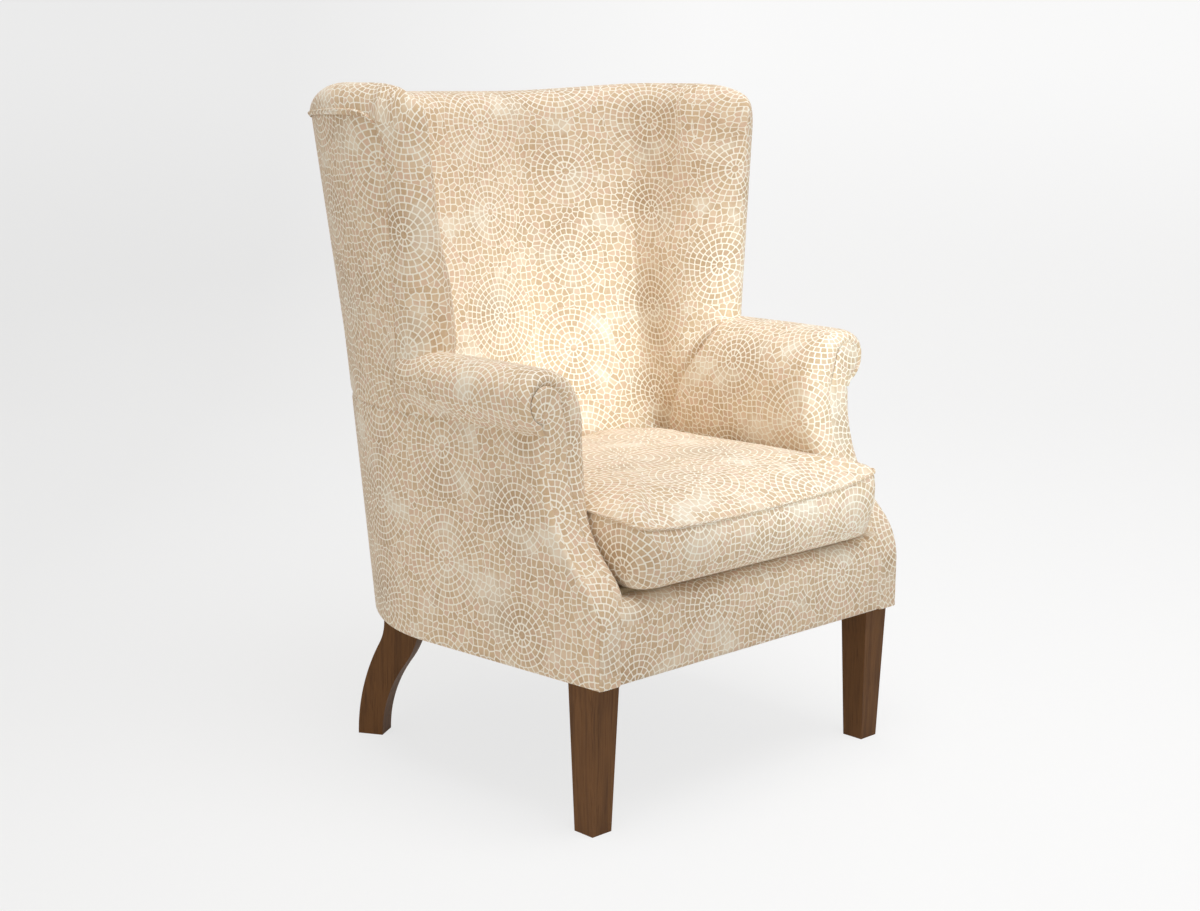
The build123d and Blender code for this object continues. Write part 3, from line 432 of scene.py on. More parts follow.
def outer_lengths(p):
    """Length along the outside of the roll at each station, from the first one, in metres."""
    return run_along(place(*outer_face(p, 1000.0, 6.0), 1000.0))


def pad_cloth(face, rear, along, outside):
    """Cloth coordinates over a face grid and the rear grid that carries on from its last row."""
    up = lengths(face, 0) + face[0, 0, 2]
    count = rear.shape[1]
    down = lengths(rear, 0) + up[-1:, :count]
    share = smooth(0.0, 1.0, np.linspace(0.0, 1.0, rear.shape[0]))[:, None]
    rear_along = along[None, :count] + (outside - along)[None, :count] * share
    return pair(along, up), pair(rear_along, down)


def relax(points, cloth, free):
    """Even out the print where a grid is squeezed or stretched, moving only the free cloth points."""
    rows, cols = points.shape[:2]
    pairs = []
    for down, right in ((0, 1), (1, 0), (1, 1), (1, -1)):
        a = np.s_[: rows - down, max(-right, 0) : cols - max(right, 0)]
        b = np.s_[down:, max(right, 0) : cols - max(-right, 0)]
        pairs.append((a, b, np.linalg.norm(points[b] - points[a], axis=-1)))
    cloth = cloth.copy()
    for _ in range(1200):
        push, count = np.zeros_like(cloth), np.zeros((rows, cols, 1))
        for a, b, length in pairs:
            way = cloth[b] - cloth[a]
            size = np.maximum(np.linalg.norm(way, axis=-1), 1e-7)
            move = 0.5 * way * (1.0 - length / size)[..., None]
            push[a] += move
            push[b] -= move
            count[a] += 1.0
            count[b] += 1.0
        cloth += free[..., None] * push / count
    return cloth


def wing_grids():
    """Right wing and the part of the back below it: face, roll and the outer side of the nose."""
    p = np.concatenate([np.linspace(WING_VALLEY, 90.0, 22)[:-1], np.linspace(90.0, SEAM_P, 8)[:-1]])
    p = np.concatenate([p, [SEAM_P, 99.2, 99.5, 100.0], np.linspace(101.2, CAP_P, 5)[:-1]])
    p = np.concatenate([p, CAP_P + (TIP_P - CAP_P) * np.linspace(0.0, 1.0, 16)])
    seam = int(np.argmin(np.abs(p - SEAM_P)))
    along = face_lengths(p) + BACK_HALF
    outside = outer_lengths(p)
    outside = outside - outside[seam] + along[seam]
    face, rear = face_side(p), rear_side(p[: seam + 1])
    face_cloth, rear_cloth = pad_cloth(face, rear, along, outside)
    nose_p = p[seam:]
    nose = rear_side(nose_p, foot=True)
    run = run_along(place(*outer_face(nose_p, 800.0, 0.0), 800.0))
    drop = lengths(nose[::-1], 0)[::-1] + 0.625
    nose_cloth = pair(along[-1] + run[-1] - run, drop)
    turn = CAP_STEPS // 2
    cap = nose[: turn + 1]
    cap_cloth = pad_cloth(face[:, seam:], cap, along[seam:], outside[seam:])[1]
    over = np.concatenate([rear[: turn + 1, :-1], cap], 1)
    over_cloth = np.concatenate([rear_cloth[: turn + 1, :-1], cap_cloth], 1)
    sheet = np.concatenate([face[WING_FOOT:], over[1:]])
    plain = np.concatenate([face_cloth[WING_FOOT:], over_cloth[1:]])
    even = relax(sheet, plain, smooth(95.0, 102.0, p) * smooth(0.935, 0.970, sheet[..., 2]))
    shift = (even - plain)[-1:, : seam + 1]
    upper = [(sheet, even), (rear[turn:], rear_cloth[turn:] + shift), (nose[turn:], nose_cloth[turn:])]
    return upper, [(face[: WING_FOOT + 1], face_cloth[: WING_FOOT + 1])]


WING_UPPER, WING_LOWER = wing_grids()


def make_inside_back():
    face, rear = face_side(BACK_STATIONS), rear_side(BACK_STATIONS)
    along = face_lengths(BACK_STATIONS) - BACK_HALF
    outside = outer_lengths(BACK_STATIONS)
    face_cloth, rear_cloth = pad_cloth(face, rear, along, outside - outside[-1] / 2)
    grids = [(face, face_cloth), (rear, rear_cloth), *WING_LOWER, *mirror_grids(WING_LOWER)]
    return make_piece("inside_back_pad", grids, outward=((0, 0.1, 0.7), (0, -1, 0)))


# Outside panels
def panel_rows(low, high, count):
    return low + (high - low) * eased(count, 1.3)


def make_outside_back():
    q = -SIDE_SEAM + 2.0 * SIDE_SEAM * eased(61, 1.4)
    z = panel_rows(BASE_BOTTOM, WELT - 3.0, 76)
    zz, qq = np.meshgrid(z, q, indexing="ij")
    seam = (SIDE_SEAM - np.abs(qq)) * SEAM_SPREAD
    inset = 0.4 + tuck(seam) + tuck(WELT - 3.0 - zz, 2.0) + tuck(zz - BASE_BOTTOM, 3.0, 3.0)
    points = place(*station(qq, zz, inset, inset), zz)
    under = place(*station(q, BASE_BOTTOM - 0.6, 22.0, 22.0), BASE_BOTTOM - 0.6)
    points = np.concatenate([under[None], points])
    grids = [(points, panel_cloth(points))]
    return make_piece("outside_back_panel", grids, outward=((0, 0.4, 0.5), (0, 1, 0)))


def panel_cloth(points):
    """Cloth coordinates of an upright panel: along its middle row and up."""
    along = run_along(points[points.shape[0] // 2])
    return pair(along - along.mean(), points[..., 2])


def wing_panel_grids():
    p = np.concatenate([SIDE_SEAM + 48.0 * eased(40, 1.4)[:24], np.linspace(75.0, 97.6, 22)])
    p = np.concatenate([p, [98.2, 98.5, 98.75, 98.9, SEAM_P]])
    foot, top = ARM_SEAM - 0.4, welt_height(p) - 3.0
    zz = foot + (top - foot)[None, :] * eased(52, 1.3)[:, None]
    pp = np.broadcast_to(p, zz.shape)
    _, s = outer_face(pp, zz, 0.0)
    front = np.where(pp > 60.0, s - WING_SEAM, FAR)
    inset = 0.4 + tuck((pp - SIDE_SEAM) * SEAM_SPREAD) + tuck(front, 3.6, 1.9)
    inset = inset + tuck(top - zz, 2.0) + tuck(zz - foot, 1.8)
    points = place(*outer_face(pp, zz, -inset), zz)
    return [(points, panel_cloth(points))]


def sweep(z):
    """Setback of the arm front at a height: upright, over a shoulder and back along a sweep."""
    z = np.asarray(z, float)
    turn = math.radians(SWEEP_TURN)
    shoulder_top = SHOULDER_Z + SHOULDER_R * math.sin(turn)
    neck = shoulder_top + NECK_R * math.sin(turn)
    end = (SHOULDER_R + NECK_R) * (1.0 - math.cos(turn))
    first = np.arcsin(np.clip((z - SHOULDER_Z) / SHOULDER_R, 0.0, math.sin(turn)))
    low = SHOULDER_R * (1.0 - np.cos(first))
    second = np.arcsin(np.clip((neck - z) / NECK_R, 0.0, math.sin(turn)))
    high = end - NECK_R * (1.0 - np.cos(second))
    return np.where(z < shoulder_top, low, high)


def base_half(s, z):
    return FRONT_HALF + (BASE_HALF - FRONT_HALF) * np.minimum(s / centre(z), 1.0)


def arm_panel_grids():
    """Right outside arm: turned edge at the facing, the tapering side and the curve to the rear seam."""
    top = ARM_SEAM + 0.4
    z = panel_rows(BASE_BOTTOM, top, 50)
    depth = 9.0
    front = sweep(z)
    columns = []
    for angle in np.radians(np.linspace(0.0, 90.0, 6)[:-1]):
        edge = base_half(front, z)
        x = BOARD_OUTER + 0.8 + (edge - BOARD_OUTER - 0.8) * math.sin(angle)
        columns.append((x, front + 1.6 + depth * (1.0 - math.cos(angle)), np.full_like(z, FAR)))
    start = front + 1.6 + depth
    for share in np.linspace(0.0, 1.0, 44)[:-1]:
        s = start + (centre(z) - start) * share
        columns.append((base_half(s, z), s, np.full_like(z, FAR)))
    for q in 90.0 - 48.0 * (1.0 - (1.0 - np.linspace(0.0, 1.0, 42)) ** 1.15):
        x, s = station(q, z, 0.0, 0.0)
        columns.append((x, s, np.full_like(z, (q - SIDE_SEAM) * SEAM_SPREAD)))
    x = np.array([c[0] for c in columns]).T
    s = np.array([c[1] for c in columns]).T
    seam = np.array([c[2] for c in columns]).T
    zz = np.broadcast_to(z[:, None], x.shape)
    inset = 0.4 + tuck(seam) + tuck(top - zz, 3.6, 5.5) + tuck(zz - BASE_BOTTOM, 3.0, 3.0)
    curve = np.clip((s - centre(zz)) / reach(zz), 0.0, 1.0)
    x = x - inset * np.sqrt(1.0 - curve * curve)
    s = s - inset * curve
    points = place(x, s, zz)
    below = points[0].copy()
    below[:, 0] -= 0.020 * np.sqrt(1.0 - curve[0] ** 2)
    below[:, 1] -= 0.020 * curve[0]
    below[:, 1] = np.maximum(below[:, 1], points[0, 0, 1] + 0.002)
    below[:, 2] = (BASE_BOTTOM - 0.6) / 1000.0
    points = np.concatenate([below[None], points])
    along = lengths(points, 1)
    u = along - along[:, 5:6] + points[:, 5:6, 1]
    return [(points, pair(u, points[..., 2]))]


# Arms
def back_face_beside(z, s):
    """Half width of the back's face where it passes behind the arm pad."""
    p = np.linspace(WING_VALLEY + 1.0, TIP_P - 1.0, 113)
    found = []
    for zi, si in zip(z, s):
        x, setback = inner_face(p, zi)
        found.append(np.interp(-si, -setback, x))
    return np.array(found)


def arm_pad_grids():
    """Right arm pad: rolled round the facing in front, rounded off where it meets the back."""
    roll = np.linspace(0.0, 1.0, 34)[1:]
    fx, fz = np.concatenate([ARM_EDGE, outer_edge()]).T
    count = len(fx)
    index = np.arange(count)
    last = index == count - 1
    outer = smooth(ARM_CREST, ARM_CREST + 12, index)
    inside = 1.0 - smooth(ARM_CREST - 9, ARM_CREST + 2, index)

    def section(panel):
        """Front view of the pad where the outside arm stands at a half width."""
        low = -np.degrees(np.arccos(np.clip((panel + 1.0 - ROLL_X) / ROLL_R, 0.0, 1.0)))
        angle = np.radians(90.0 + (low - 90.0) * roll)
        rise = np.where(angle > 0.0, ARM_TOP - ROLL_Z, ROLL_LOW)
        x = np.concatenate([ARM_SKIN[:, 0], ROLL_X + ROLL_R * np.cos(angle), [panel - 3.6]])
        z = np.concatenate([ARM_SKIN[:, 1], ROLL_Z + rise * np.sin(angle), [ARM_SEAM - 0.4]])
        return x, z

    depth = 25.0 - 10.0 * outer
    f_front = sweep(fz)
    head = smooth(530.0, 585.0, fz)
    x, z = section(base_half(sweep(ARM_SEAM) + 15.0, ARM_SEAM))
    rows = []
    for angle in np.radians(np.linspace(0.0, 90.0, 10)[:-1]):
        share = math.sin(angle)
        puff = 2.5 * math.sin(2.0 * angle)
        front = f_front + (sweep(z) - f_front) * share
        recess = (1.2 + 1.4 * head) * math.exp(-((math.degrees(angle) / 11.0) ** 2))
        s = front + depth * (1.0 - math.cos(angle)) - puff + recess
        rows.append((fx + (x - fx) * share, s, fz + (z - fz) * share))
    turned = len(rows)
    start = sweep(z) + depth
    end = arm_seam_setback(z) + 3.0
    end = end + (378.0 - end) * smooth(ARM_CREST - 9, ARM_CREST, index)
    end = end + (WING_SEAM - end) * outer
    end = np.where(z < 345.0, 52.0, end)
    behind = np.zeros(count)
    behind[:ARM_CREST] = back_face_beside(ARM_SKIN[:, 1], end[:ARM_CREST]) - ARM_SKIN[:, 0] + 5.0
    behind = np.clip(behind, 10.0, 40.0)
    behind[ARM_CREST:] = np.clip(section(352.0)[0][ARM_CREST:] - 352.0, 2.0, 14.0)
    inside = inside + smooth(ARM_CREST + 3, ARM_CREST + 12, index)
    for share in np.concatenate([np.linspace(0.0, 0.9, 40)[:-1], np.linspace(0.9, 1.0, 19)]):
        s = start + (end - start) * share
        x, z = section(base_half(s[-1], ARM_SEAM))
        nx, nz = np.gradient(z), -np.gradient(x)
        size = np.hypot(nx, nz)
        round_off = 13.0 + 0.35 * behind
        t = np.clip((s - end + round_off) / round_off, 0.0, 1.0)
        dive = behind * (1.0 - np.sqrt(1.0 - t * t)) * inside
        move = dive - 1.2 * math.sin(math.pi * share) ** 0.7
        rows.append((np.where(last, x, x + nx / size * move), s, np.where(last, z, z + nz / size * move)))
    points = np.array([place(*row) for row in rows])
    along = run_along(points[30])
    run = lengths(points, 0)
    run = run - run[turned : turned + 1] + start[None, :] / 1000.0
    return [(points, pair(run, along))]


def facing_grids():
    """Right arm facing, a narrow strip with a round head."""
    crown = HEAD_Z + HEAD_R * np.sin(np.radians(np.linspace(-4.0, 88.0, 24)))
    z = np.concatenate([np.linspace(BASE_BOTTOM, 552.0, 48)[:-1], np.linspace(552.0, 598.0, 22)[:-1], crown])
    bow = np.sqrt(np.clip(HEAD_R**2 - (z - HEAD_Z) ** 2, 0.0, None))
    left = np.interp(z, ARM_EDGE[:, 1], ARM_EDGE[:, 0], left=BOARD_INNER)
    outer = outer_edge()[::-1]
    right = np.where(z < HEAD_Z, np.interp(z, outer[:, 1], outer[:, 0], left=BOARD_OUTER + 0.6), HEAD_X + bow)
    across = eased(13, 1.5)
    edge = np.minimum(across, 1.0 - across)
    rows = []
    for zi, a, b in zip(z, left, right):
        width = b - a
        dome = -1.4 + (1.8 + 1.2 * smooth(340.0, 420.0, zi)) * np.exp(-(edge * width / 2.6) ** 2)
        top = 1.5 * math.exp(-((HEAD_Z + HEAD_R - zi) / 3.0) ** 2)
        rows.append(place(a + width * across, sweep(zi) + dome + top, zi))
    under = place(left[0] + (right[0] - left[0]) * across, 22.0, BASE_BOTTOM - 0.6)
    points = np.array([under, *rows])
    return [(points, pair(points[..., 0], lengths(points, 0)))]


# Base front and seat
def make_front_border():
    half = BOARD_INNER + 0.4
    x = -half + 2 * half * eased(80, 1.4)
    section = [(22.0, BASE_BOTTOM - 0.6), (3.0, BASE_BOTTOM), (0.6, BASE_BOTTOM + 2.0)]
    bend, depth, rise = 311.0, 27.0, 25.0
    section += [(0.0, z) for z in np.linspace(BASE_BOTTOM + 6.0, bend, 20)]
    for angle in np.radians(np.linspace(8.0, 90.0, 11)):
        section.append((depth - depth * math.cos(angle), bend + rise * math.sin(angle)))
    section += [(s, bend + rise) for s in (30.0, 34.0, 39.0)]
    rows = []
    for s, z in section:
        seam = tuck(half - np.abs(x), 1.0, 3.0)
        sag = 1.5 * np.sin(np.clip((z - BASE_BOTTOM) / 110.0, 0.0, 1.0) * math.pi)
        rows.append(place(x, s + seam - sag, z))
    points = np.array(rows)
    grids = [(points, pair(points[..., 0], lengths(points, 0)))]
    return make_piece("front_border_panel", grids, outward=((0, -0.41, 0.28), (0, -1, 0)))


def cushion_outline(count, inset=0.0, corner=20.0, slim=8.0):
    """Plan of the cushion: square front, drawn-in sides and a rear shaped to the barrel."""
    half, front, rear = CUSHION_HALF - inset, -CUSHION_OVERHANG + inset, CUSHION_REAR - inset
    side_end, rear_half = 398.0, 125.0
    pieces = [pair(np.linspace(0.0, half - corner, 40), front)]
    pieces.append(circle(half - corner, front + corner, corner, -90.0, 0.0, 14))
    t = np.linspace(0.0, 1.0, 50)
    run = front + corner + (side_end - front - corner) * t
    pieces.append(pair(half - 5.0 * np.sin(math.pi * t) - slim * smooth(200.0, side_end, run), run))
    pieces.append(hermite((half - slim, side_end), (-0.05, 0.95), (rear_half, rear), (-1.0, 0.12), 40))
    pieces.append(pair(np.linspace(rear_half, 0.0, 16), rear))
    right = np.concatenate(pieces)
    left = right[::-1] * np.array([-1.0, 1.0])
    loop = np.concatenate([right, left[1:-1]])
    closed = np.concatenate([loop, loop[:1]])
    run = run_along(closed)
    want = np.linspace(0.0, run[-1], count + 1)
    return pair(np.interp(want, run, closed[:, 0]), np.interp(want, run, closed[:, 1]))


def cushion_seam_height(x, s):
    """Top seam: low along the middle of the front, lifted at the front corners and along the arms."""
    x, s = arrays(x, s)
    share = np.abs(x) / 250.0
    front = 430.0 + 0.02 * x + 6.0 * share**2 + 7.0 * share**6
    setback = [18.0, 90.0, 170.0, 270.0, 400.0, CUSHION_REAR]
    rest = np.interp(s, setback, [442.0, 446.0, 449.0, 446.0, 438.0, 431.0])
    return front + (rest - front) * smooth(-4.0, 30.0, s)


def inside_arms(points):
    """Draw cushion points in where the arm pads lean over them."""
    x, s, z = points[..., 0] * 1000.0, points[..., 1] * 1000.0 + MIDDLE, points[..., 2] * 1000.0
    limit = arm_face(z) - 1.5 + 16.0 * (1.0 - smooth(58.0, 118.0, s))
    points[..., 0] = np.clip(x, -limit, limit) / 1000.0
    return points


def outward_of(edge):
    """Outward directions along a closed plan line."""
    step = np.roll(edge[:-1], -1, 0) - np.roll(edge[:-1], 1, 0)
    out = np.stack([step[:, 1], -step[:, 0]], -1)
    out /= np.linalg.norm(out, axis=-1)[:, None]
    return np.concatenate([out, out[:1]])


def make_cushion():
    """Boxed cushion: crowned top, bulging border, rounded lower edge and a flat underside."""
    edge = cushion_outline(CUSHION_POINTS)
    out = outward_of(edge)
    seam = cushion_seam_height(*edge.T)
    across = np.abs(out[:, 0]) ** 1.5
    fall = np.where(out[:, 1] < 0.0, 2.8, 3.0) * (1.0 - across) + 9.0 * across
    top = []
    for share in 1.0 - (1.0 - np.linspace(0.0, 1.0, 40)) ** 1.7:
        plan = CUSHION_MIDDLE + (edge - CUSHION_MIDDLE) * share
        swell = np.sqrt(1.0 - share**fall)
        dip = 2.2 * math.exp(-(((1.0 - share) / 0.011) ** 2))
        top.append(place(*plan.T, seam + (CUSHION_CROWN - seam) * swell - dip))
    top = inside_arms(np.array(top))
    spoke = edge - CUSHION_MIDDLE
    spoke = spoke / np.linalg.norm(spoke, axis=-1)[:, None]
    top_cloth = spoke[None] * lengths(top, 0)[..., None] + np.array([0.43, 0.21])
    border = []
    flat = smooth(0.55, 0.95, out[:, 1])
    full = (2.5 + 3.5 * np.abs(out[:, 1]) ** 2) * (1.0 - flat)
    foot = cushion_outline(CUSHION_POINTS, 0.0, 36.0)
    foot_out = outward_of(foot)
    corner = ((np.abs(foot[:, 0]) - 248.0) / 60.0) ** 2 + ((foot[:, 1] - 2.0) / 60.0) ** 2
    low = 13.0 + 4.0 * np.exp(-corner)
    for share in eased(17, 1.5):
        z = seam + (SEAT_LEVEL + low - seam) * share
        bulge = full * math.sin(math.pi * share) ** 0.8 - 2.0 * math.exp(-((share / 0.05) ** 2))
        plan = edge + (foot - edge) * smooth(0.1, 1.0, share) + out * (bulge - 1.0 + 0.8 * flat)[:, None]
        border.append(place(*plan.T, z))
    for angle in np.radians(np.linspace(0.0, 90.0, 7)[1:]):
        plan = foot - foot_out * (1.0 + low * (1.0 - math.cos(angle)))[:, None]
        border.append(place(*plan.T, SEAT_LEVEL + low * (1.0 - math.sin(angle))))
    border = inside_arms(np.array(border))
    border_cloth = pair(run_along(edge) / 1000.0, 0.5 - lengths(border, 0))
    base = []
    for share in np.linspace(1.0, 0.0, 14):
        plan = CUSHION_MIDDLE + (foot - foot_out * (1.0 + low)[:, None] - CUSHION_MIDDLE) * share
        base.append(place(*plan.T, SEAT_LEVEL))
    base = np.array(base)
    grids = [(top, top_cloth * 0.9), (border, border_cloth), (base, base[..., :2].copy())]
    piece = make_piece("seat_cushion", grids, 0.0, outward=((0, 0.0, 0.48), (0, 0, 1)))
    behind_zip = border[:, flat > 0.5].reshape(-1, 3)
    held = np.concatenate([top[-1], border[0], base.reshape(-1, 3), behind_zip])
    settle(piece, held, 3.0, 0.006)
    return thicken(piece, CLOTH)


def settle(piece, held, pressure, cap):
    """Let a cover swell under the push of its filling, held at its seams, moving no point past a cap."""
    mesh = piece.data
    rest = np.array([v.co[:] for v in mesh.vertices])
    near = np.array([np.min(np.abs(held - point).sum(-1)) for point in rest])
    group = piece.vertex_groups.new(name="held")
    group.add([int(i) for i in np.flatnonzero(near < 0.0002)], 1.0, "REPLACE")
    modifier = piece.modifiers.new("filling", "CLOTH")
    modifier.settings.vertex_group_mass = "held"
    modifier.settings.use_pressure = True
    modifier.settings.uniform_pressure_force = pressure
    modifier.settings.effector_weights.gravity = 0.0
    modifier.point_cache.frame_end = SETTLE_FRAMES
    for number in range(1, SETTLE_FRAMES + 1):
        scene.frame_set(number)
    puffed = piece.evaluated_get(bpy.context.evaluated_depsgraph_get())
    moved = np.array([v.co[:] for v in puffed.data.vertices]) - rest
    piece.modifiers.clear()
    piece.vertex_groups.clear()
    scene.frame_set(1)
    size = np.maximum(np.linalg.norm(moved, axis=-1), 1e-9)
    moved *= np.minimum(1.0, cap * np.tanh(size / cap) / size)[:, None]
    mesh.vertices.foreach_set("co", (rest + moved).ravel())
    mesh.update()


def make_tube(name, path, radius, closed=False):
    """Piping along a path of points in metres."""
    path = np.asarray(path, float)
    if closed:
        ahead, behind = np.roll(path, -1, 0), np.roll(path, 1, 0)
    else:
        ahead, behind = np.concatenate([path[1:], path[-1:]]), np.concatenate([path[:1], path[:-1]])
    way = ahead - behind
    way /= np.linalg.norm(way, axis=-1)[:, None]
    up = np.tile([0.0, 0.0, 1.0], (len(path), 1))
    across = np.cross(way, up)
    across /= np.linalg.norm(across, axis=-1)[:, None]
    up = np.cross(across, way)
    turn = np.linspace(0.0, 2.0 * math.pi, 11)
    ring = np.cos(turn)[None, :, None] * across[:, None, :] + np.sin(turn)[None, :, None] * up[:, None, :]
    points = path[:, None, :] + ring * radius / 1000.0
    if closed:
        points = np.concatenate([points, points[:1]])
    along = lengths(points, 0)
    grids = [(points, pair(along, turn * radius / 1000.0))]
    if not closed:
        for index in (0, -1):
            middle = np.broadcast_to(path[index], points[index].shape)
            cap = np.array([points[index], middle])
            grids.append((cap, pair(cap[..., 0], cap[..., 2])))
    return make_piece(name, grids, thickness=0.0)


def make_back_welt():
    turn = np.linspace(86.0, SEAM_P, 22)[1:]
    p = np.concatenate([-turn[::-1], np.linspace(-86.0, 86.0, 130), turn])
    z = welt_height(p) - 1.5
    return make_tube("back_welt_piping", place(*outer_face(p, z, 1.2), z), 2.9)


def make_cushion_welt():
    edge = cushion_outline(CUSHION_POINTS)[:-1]
    seam = cushion_seam_height(*edge.T)
    return make_tube("cushion_welt", inside_arms(place(*edge.T, seam + 0.4)), 2.3, True)


def make_deck():
    """Cloth-covered platform under the cushion."""
    edge = cushion_outline(160, -1.5, 20.0, 0.0)
    edge[:, 1] = np.maximum(edge[:, 1], 38.0)
    middle = np.array([0.0, 290.0])
    rows = []
    for z, inset in ((329.0, 5.0), (330.0, 1.5), (334.0, 0.0), (340.0, 0.0), (343.2, 2.0), (344.4, 7.0)):
        plan = middle + (edge - middle) * (1.0 - inset / 260.0)
        rows.append(place(*plan.T, z))
    for share in np.linspace(0.94, 0.0, 20):
        plan = middle + (edge - middle) * share
        rows.append(place(*plan.T, 344.5))
    bottom = []
    for share in np.linspace(0.98, 0.0, 12):
        plan = middle + (edge - middle) * share
        bottom.append(place(*plan.T, 329.0))
    points = np.array([*bottom[::-1], *rows])
    grids = [(points, points[..., :2].copy())]
    return make_piece("seat_deck_platform", grids, thickness=0.0, outward=((0, 0, 0.345), (0, 0, 1)))


def make_dust_cover():
    """Black cloth under the frame, tacked round its edge and a little slack between."""
    curve = 308.0 * np.sin(np.radians(np.linspace(0.0, 88.0, 26)))
    rows = []
    for value in np.concatenate([np.linspace(30.0, CENTRE_SETBACK, 26)[:-1], CENTRE_SETBACK + curve]):
        behind = max(value - CENTRE_SETBACK, 0.0)
        half = base_half(np.array(value), np.array(221.0)) - 9.0
        if behind > 0:
            half = 344.0 * math.sqrt(max(1.0 - (behind / 311.0) ** 2, 0.0))
        x = half * np.linspace(-1.0, 1.0, 41)
        edge = np.minimum(half - np.abs(x), np.minimum(value - 30.0, 673.0 - value))
        sag = 2.2 * (1.0 - np.exp(-np.maximum(edge, 0.0) / 60.0))
        rows.append(place(x, value, 219.8 - sag))
    points = np.array(rows)
    grids = [(points, points[..., :2].copy())]
    return make_piece("dust_cover_cloth", grids, thickness=0.9, outward=((0, 0, 0.2), (0, 0, -1)))


# Shader building
class Shader:
    def __init__(self, name):
        self.material = bpy.data.materials.new(name)
        self.material.use_nodes = True
        self.tree = self.material.node_tree
        self.tree.nodes.clear()
        self.output = self.add("ShaderNodeOutputMaterial")
        self.surface = self.add("ShaderNodeBsdfPrincipled")
        self.link(self.surface.outputs[0], self.output.inputs[0])

    def add(self, kind, **settings):
        node = self.tree.nodes.new(kind)
        for key, value in settings.items():
            setattr(node, key, value)
        return node

    def link(self, source, target):
        if isinstance(source, bpy.types.NodeSocket):
            self.tree.links.new(source, target)
        else:
            target.default_value = source

    def math(self, operation, *values):
        node = self.add("ShaderNodeMath", operation=operation)
        for value, socket in zip(values, node.inputs):
            self.link(value, socket)
        return node.outputs[0]

    def times(self, first, second):
        return self.math("MULTIPLY", first, second)

    def plus(self, first, second):
        return self.math("ADD", first, second)

    def minus(self, first, second):
        return self.math("SUBTRACT", first, second)

    def scaled(self, value, factor, start):
        return self.math("MULTIPLY_ADD", value, factor, start)

    def below(self, value, limit):
        return self.math("LESS_THAN", value, limit)

    def least(self, first, second):
        return self.math("MINIMUM", first, second)

    def most(self, first, second):
        return self.math("MAXIMUM", first, second)

    def mix(self, share, first, second):
        node = self.add("ShaderNodeMix", data_type="RGBA")
        self.link(share, node.inputs[0])
        self.link(first, node.inputs[6])
        self.link(second, node.inputs[7])
        return node.outputs[2]

    def pick(self, share, first, second):
        node = self.add("ShaderNodeMix", data_type="FLOAT")
        self.link(share, node.inputs[0])
        self.link(first, node.inputs[2])
        self.link(second, node.inputs[3])
        return node.outputs[0]

    def vector(self, x=0.0, y=0.0, z=0.0):
        node = self.add("ShaderNodeCombineXYZ")
        for value, socket in zip((x, y, z), node.inputs):
            self.link(value, socket)
        return node.outputs[0]

    def parts(self, vector):
        node = self.add("ShaderNodeSeparateXYZ")
        self.link(vector, node.inputs[0])
        return node.outputs[:3]

    def noise(self, vector, scale, detail=2.0, roughness=0.5):
        node = self.add("ShaderNodeTexNoise")
        self.link(vector, node.inputs["Vector"])
        node.inputs["Scale"].default_value = scale
        node.inputs["Detail"].default_value = detail
        node.inputs["Roughness"].default_value = roughness
        return node.outputs["Fac"], node.outputs["Color"]

    def random(self, vector):
        node = self.add("ShaderNodeTexWhiteNoise", noise_dimensions="3D")
        self.link(vector, node.inputs["Vector"])
        return node.outputs["Value"], node.outputs["Color"]

    def ramp(self, value, stops):
        node = self.add("ShaderNodeValToRGB")
        self.link(value, node.inputs[0])
        elements = node.color_ramp.elements
        while len(elements) < len(stops):
            elements.new(0.5)
        for element, (position, colour) in zip(elements, stops):
            element.position = position
            element.color = colour
        return node.outputs[0]

    def step(self, value, low, high, kind="SMOOTHSTEP"):
        node = self.add("ShaderNodeMapRange", interpolation_type=kind)
        self.link(value, node.inputs[0])
        node.inputs[1].default_value = low
        node.inputs[2].default_value = high
        return node.outputs[0]

    def bump(self, height, strength, distance, normal=None):
        node = self.add("ShaderNodeBump")
        node.inputs["Strength"].default_value = strength
        node.inputs["Distance"].default_value = distance
        self.link(height, node.inputs["Height"])
        if normal is not None:
            self.link(normal, node.inputs["Normal"])
        return node.outputs[0]


def colour(red, green, blue):
    """Linear colour of an sRGB triple from 0 to 255."""
    values = []
    for value in (red, green, blue):
        value /= 255.0
        values.append(value / 12.92 if value <= 0.04045 else ((value + 0.055) / 1.055) ** 2.4)
    return (*values, 1.0)


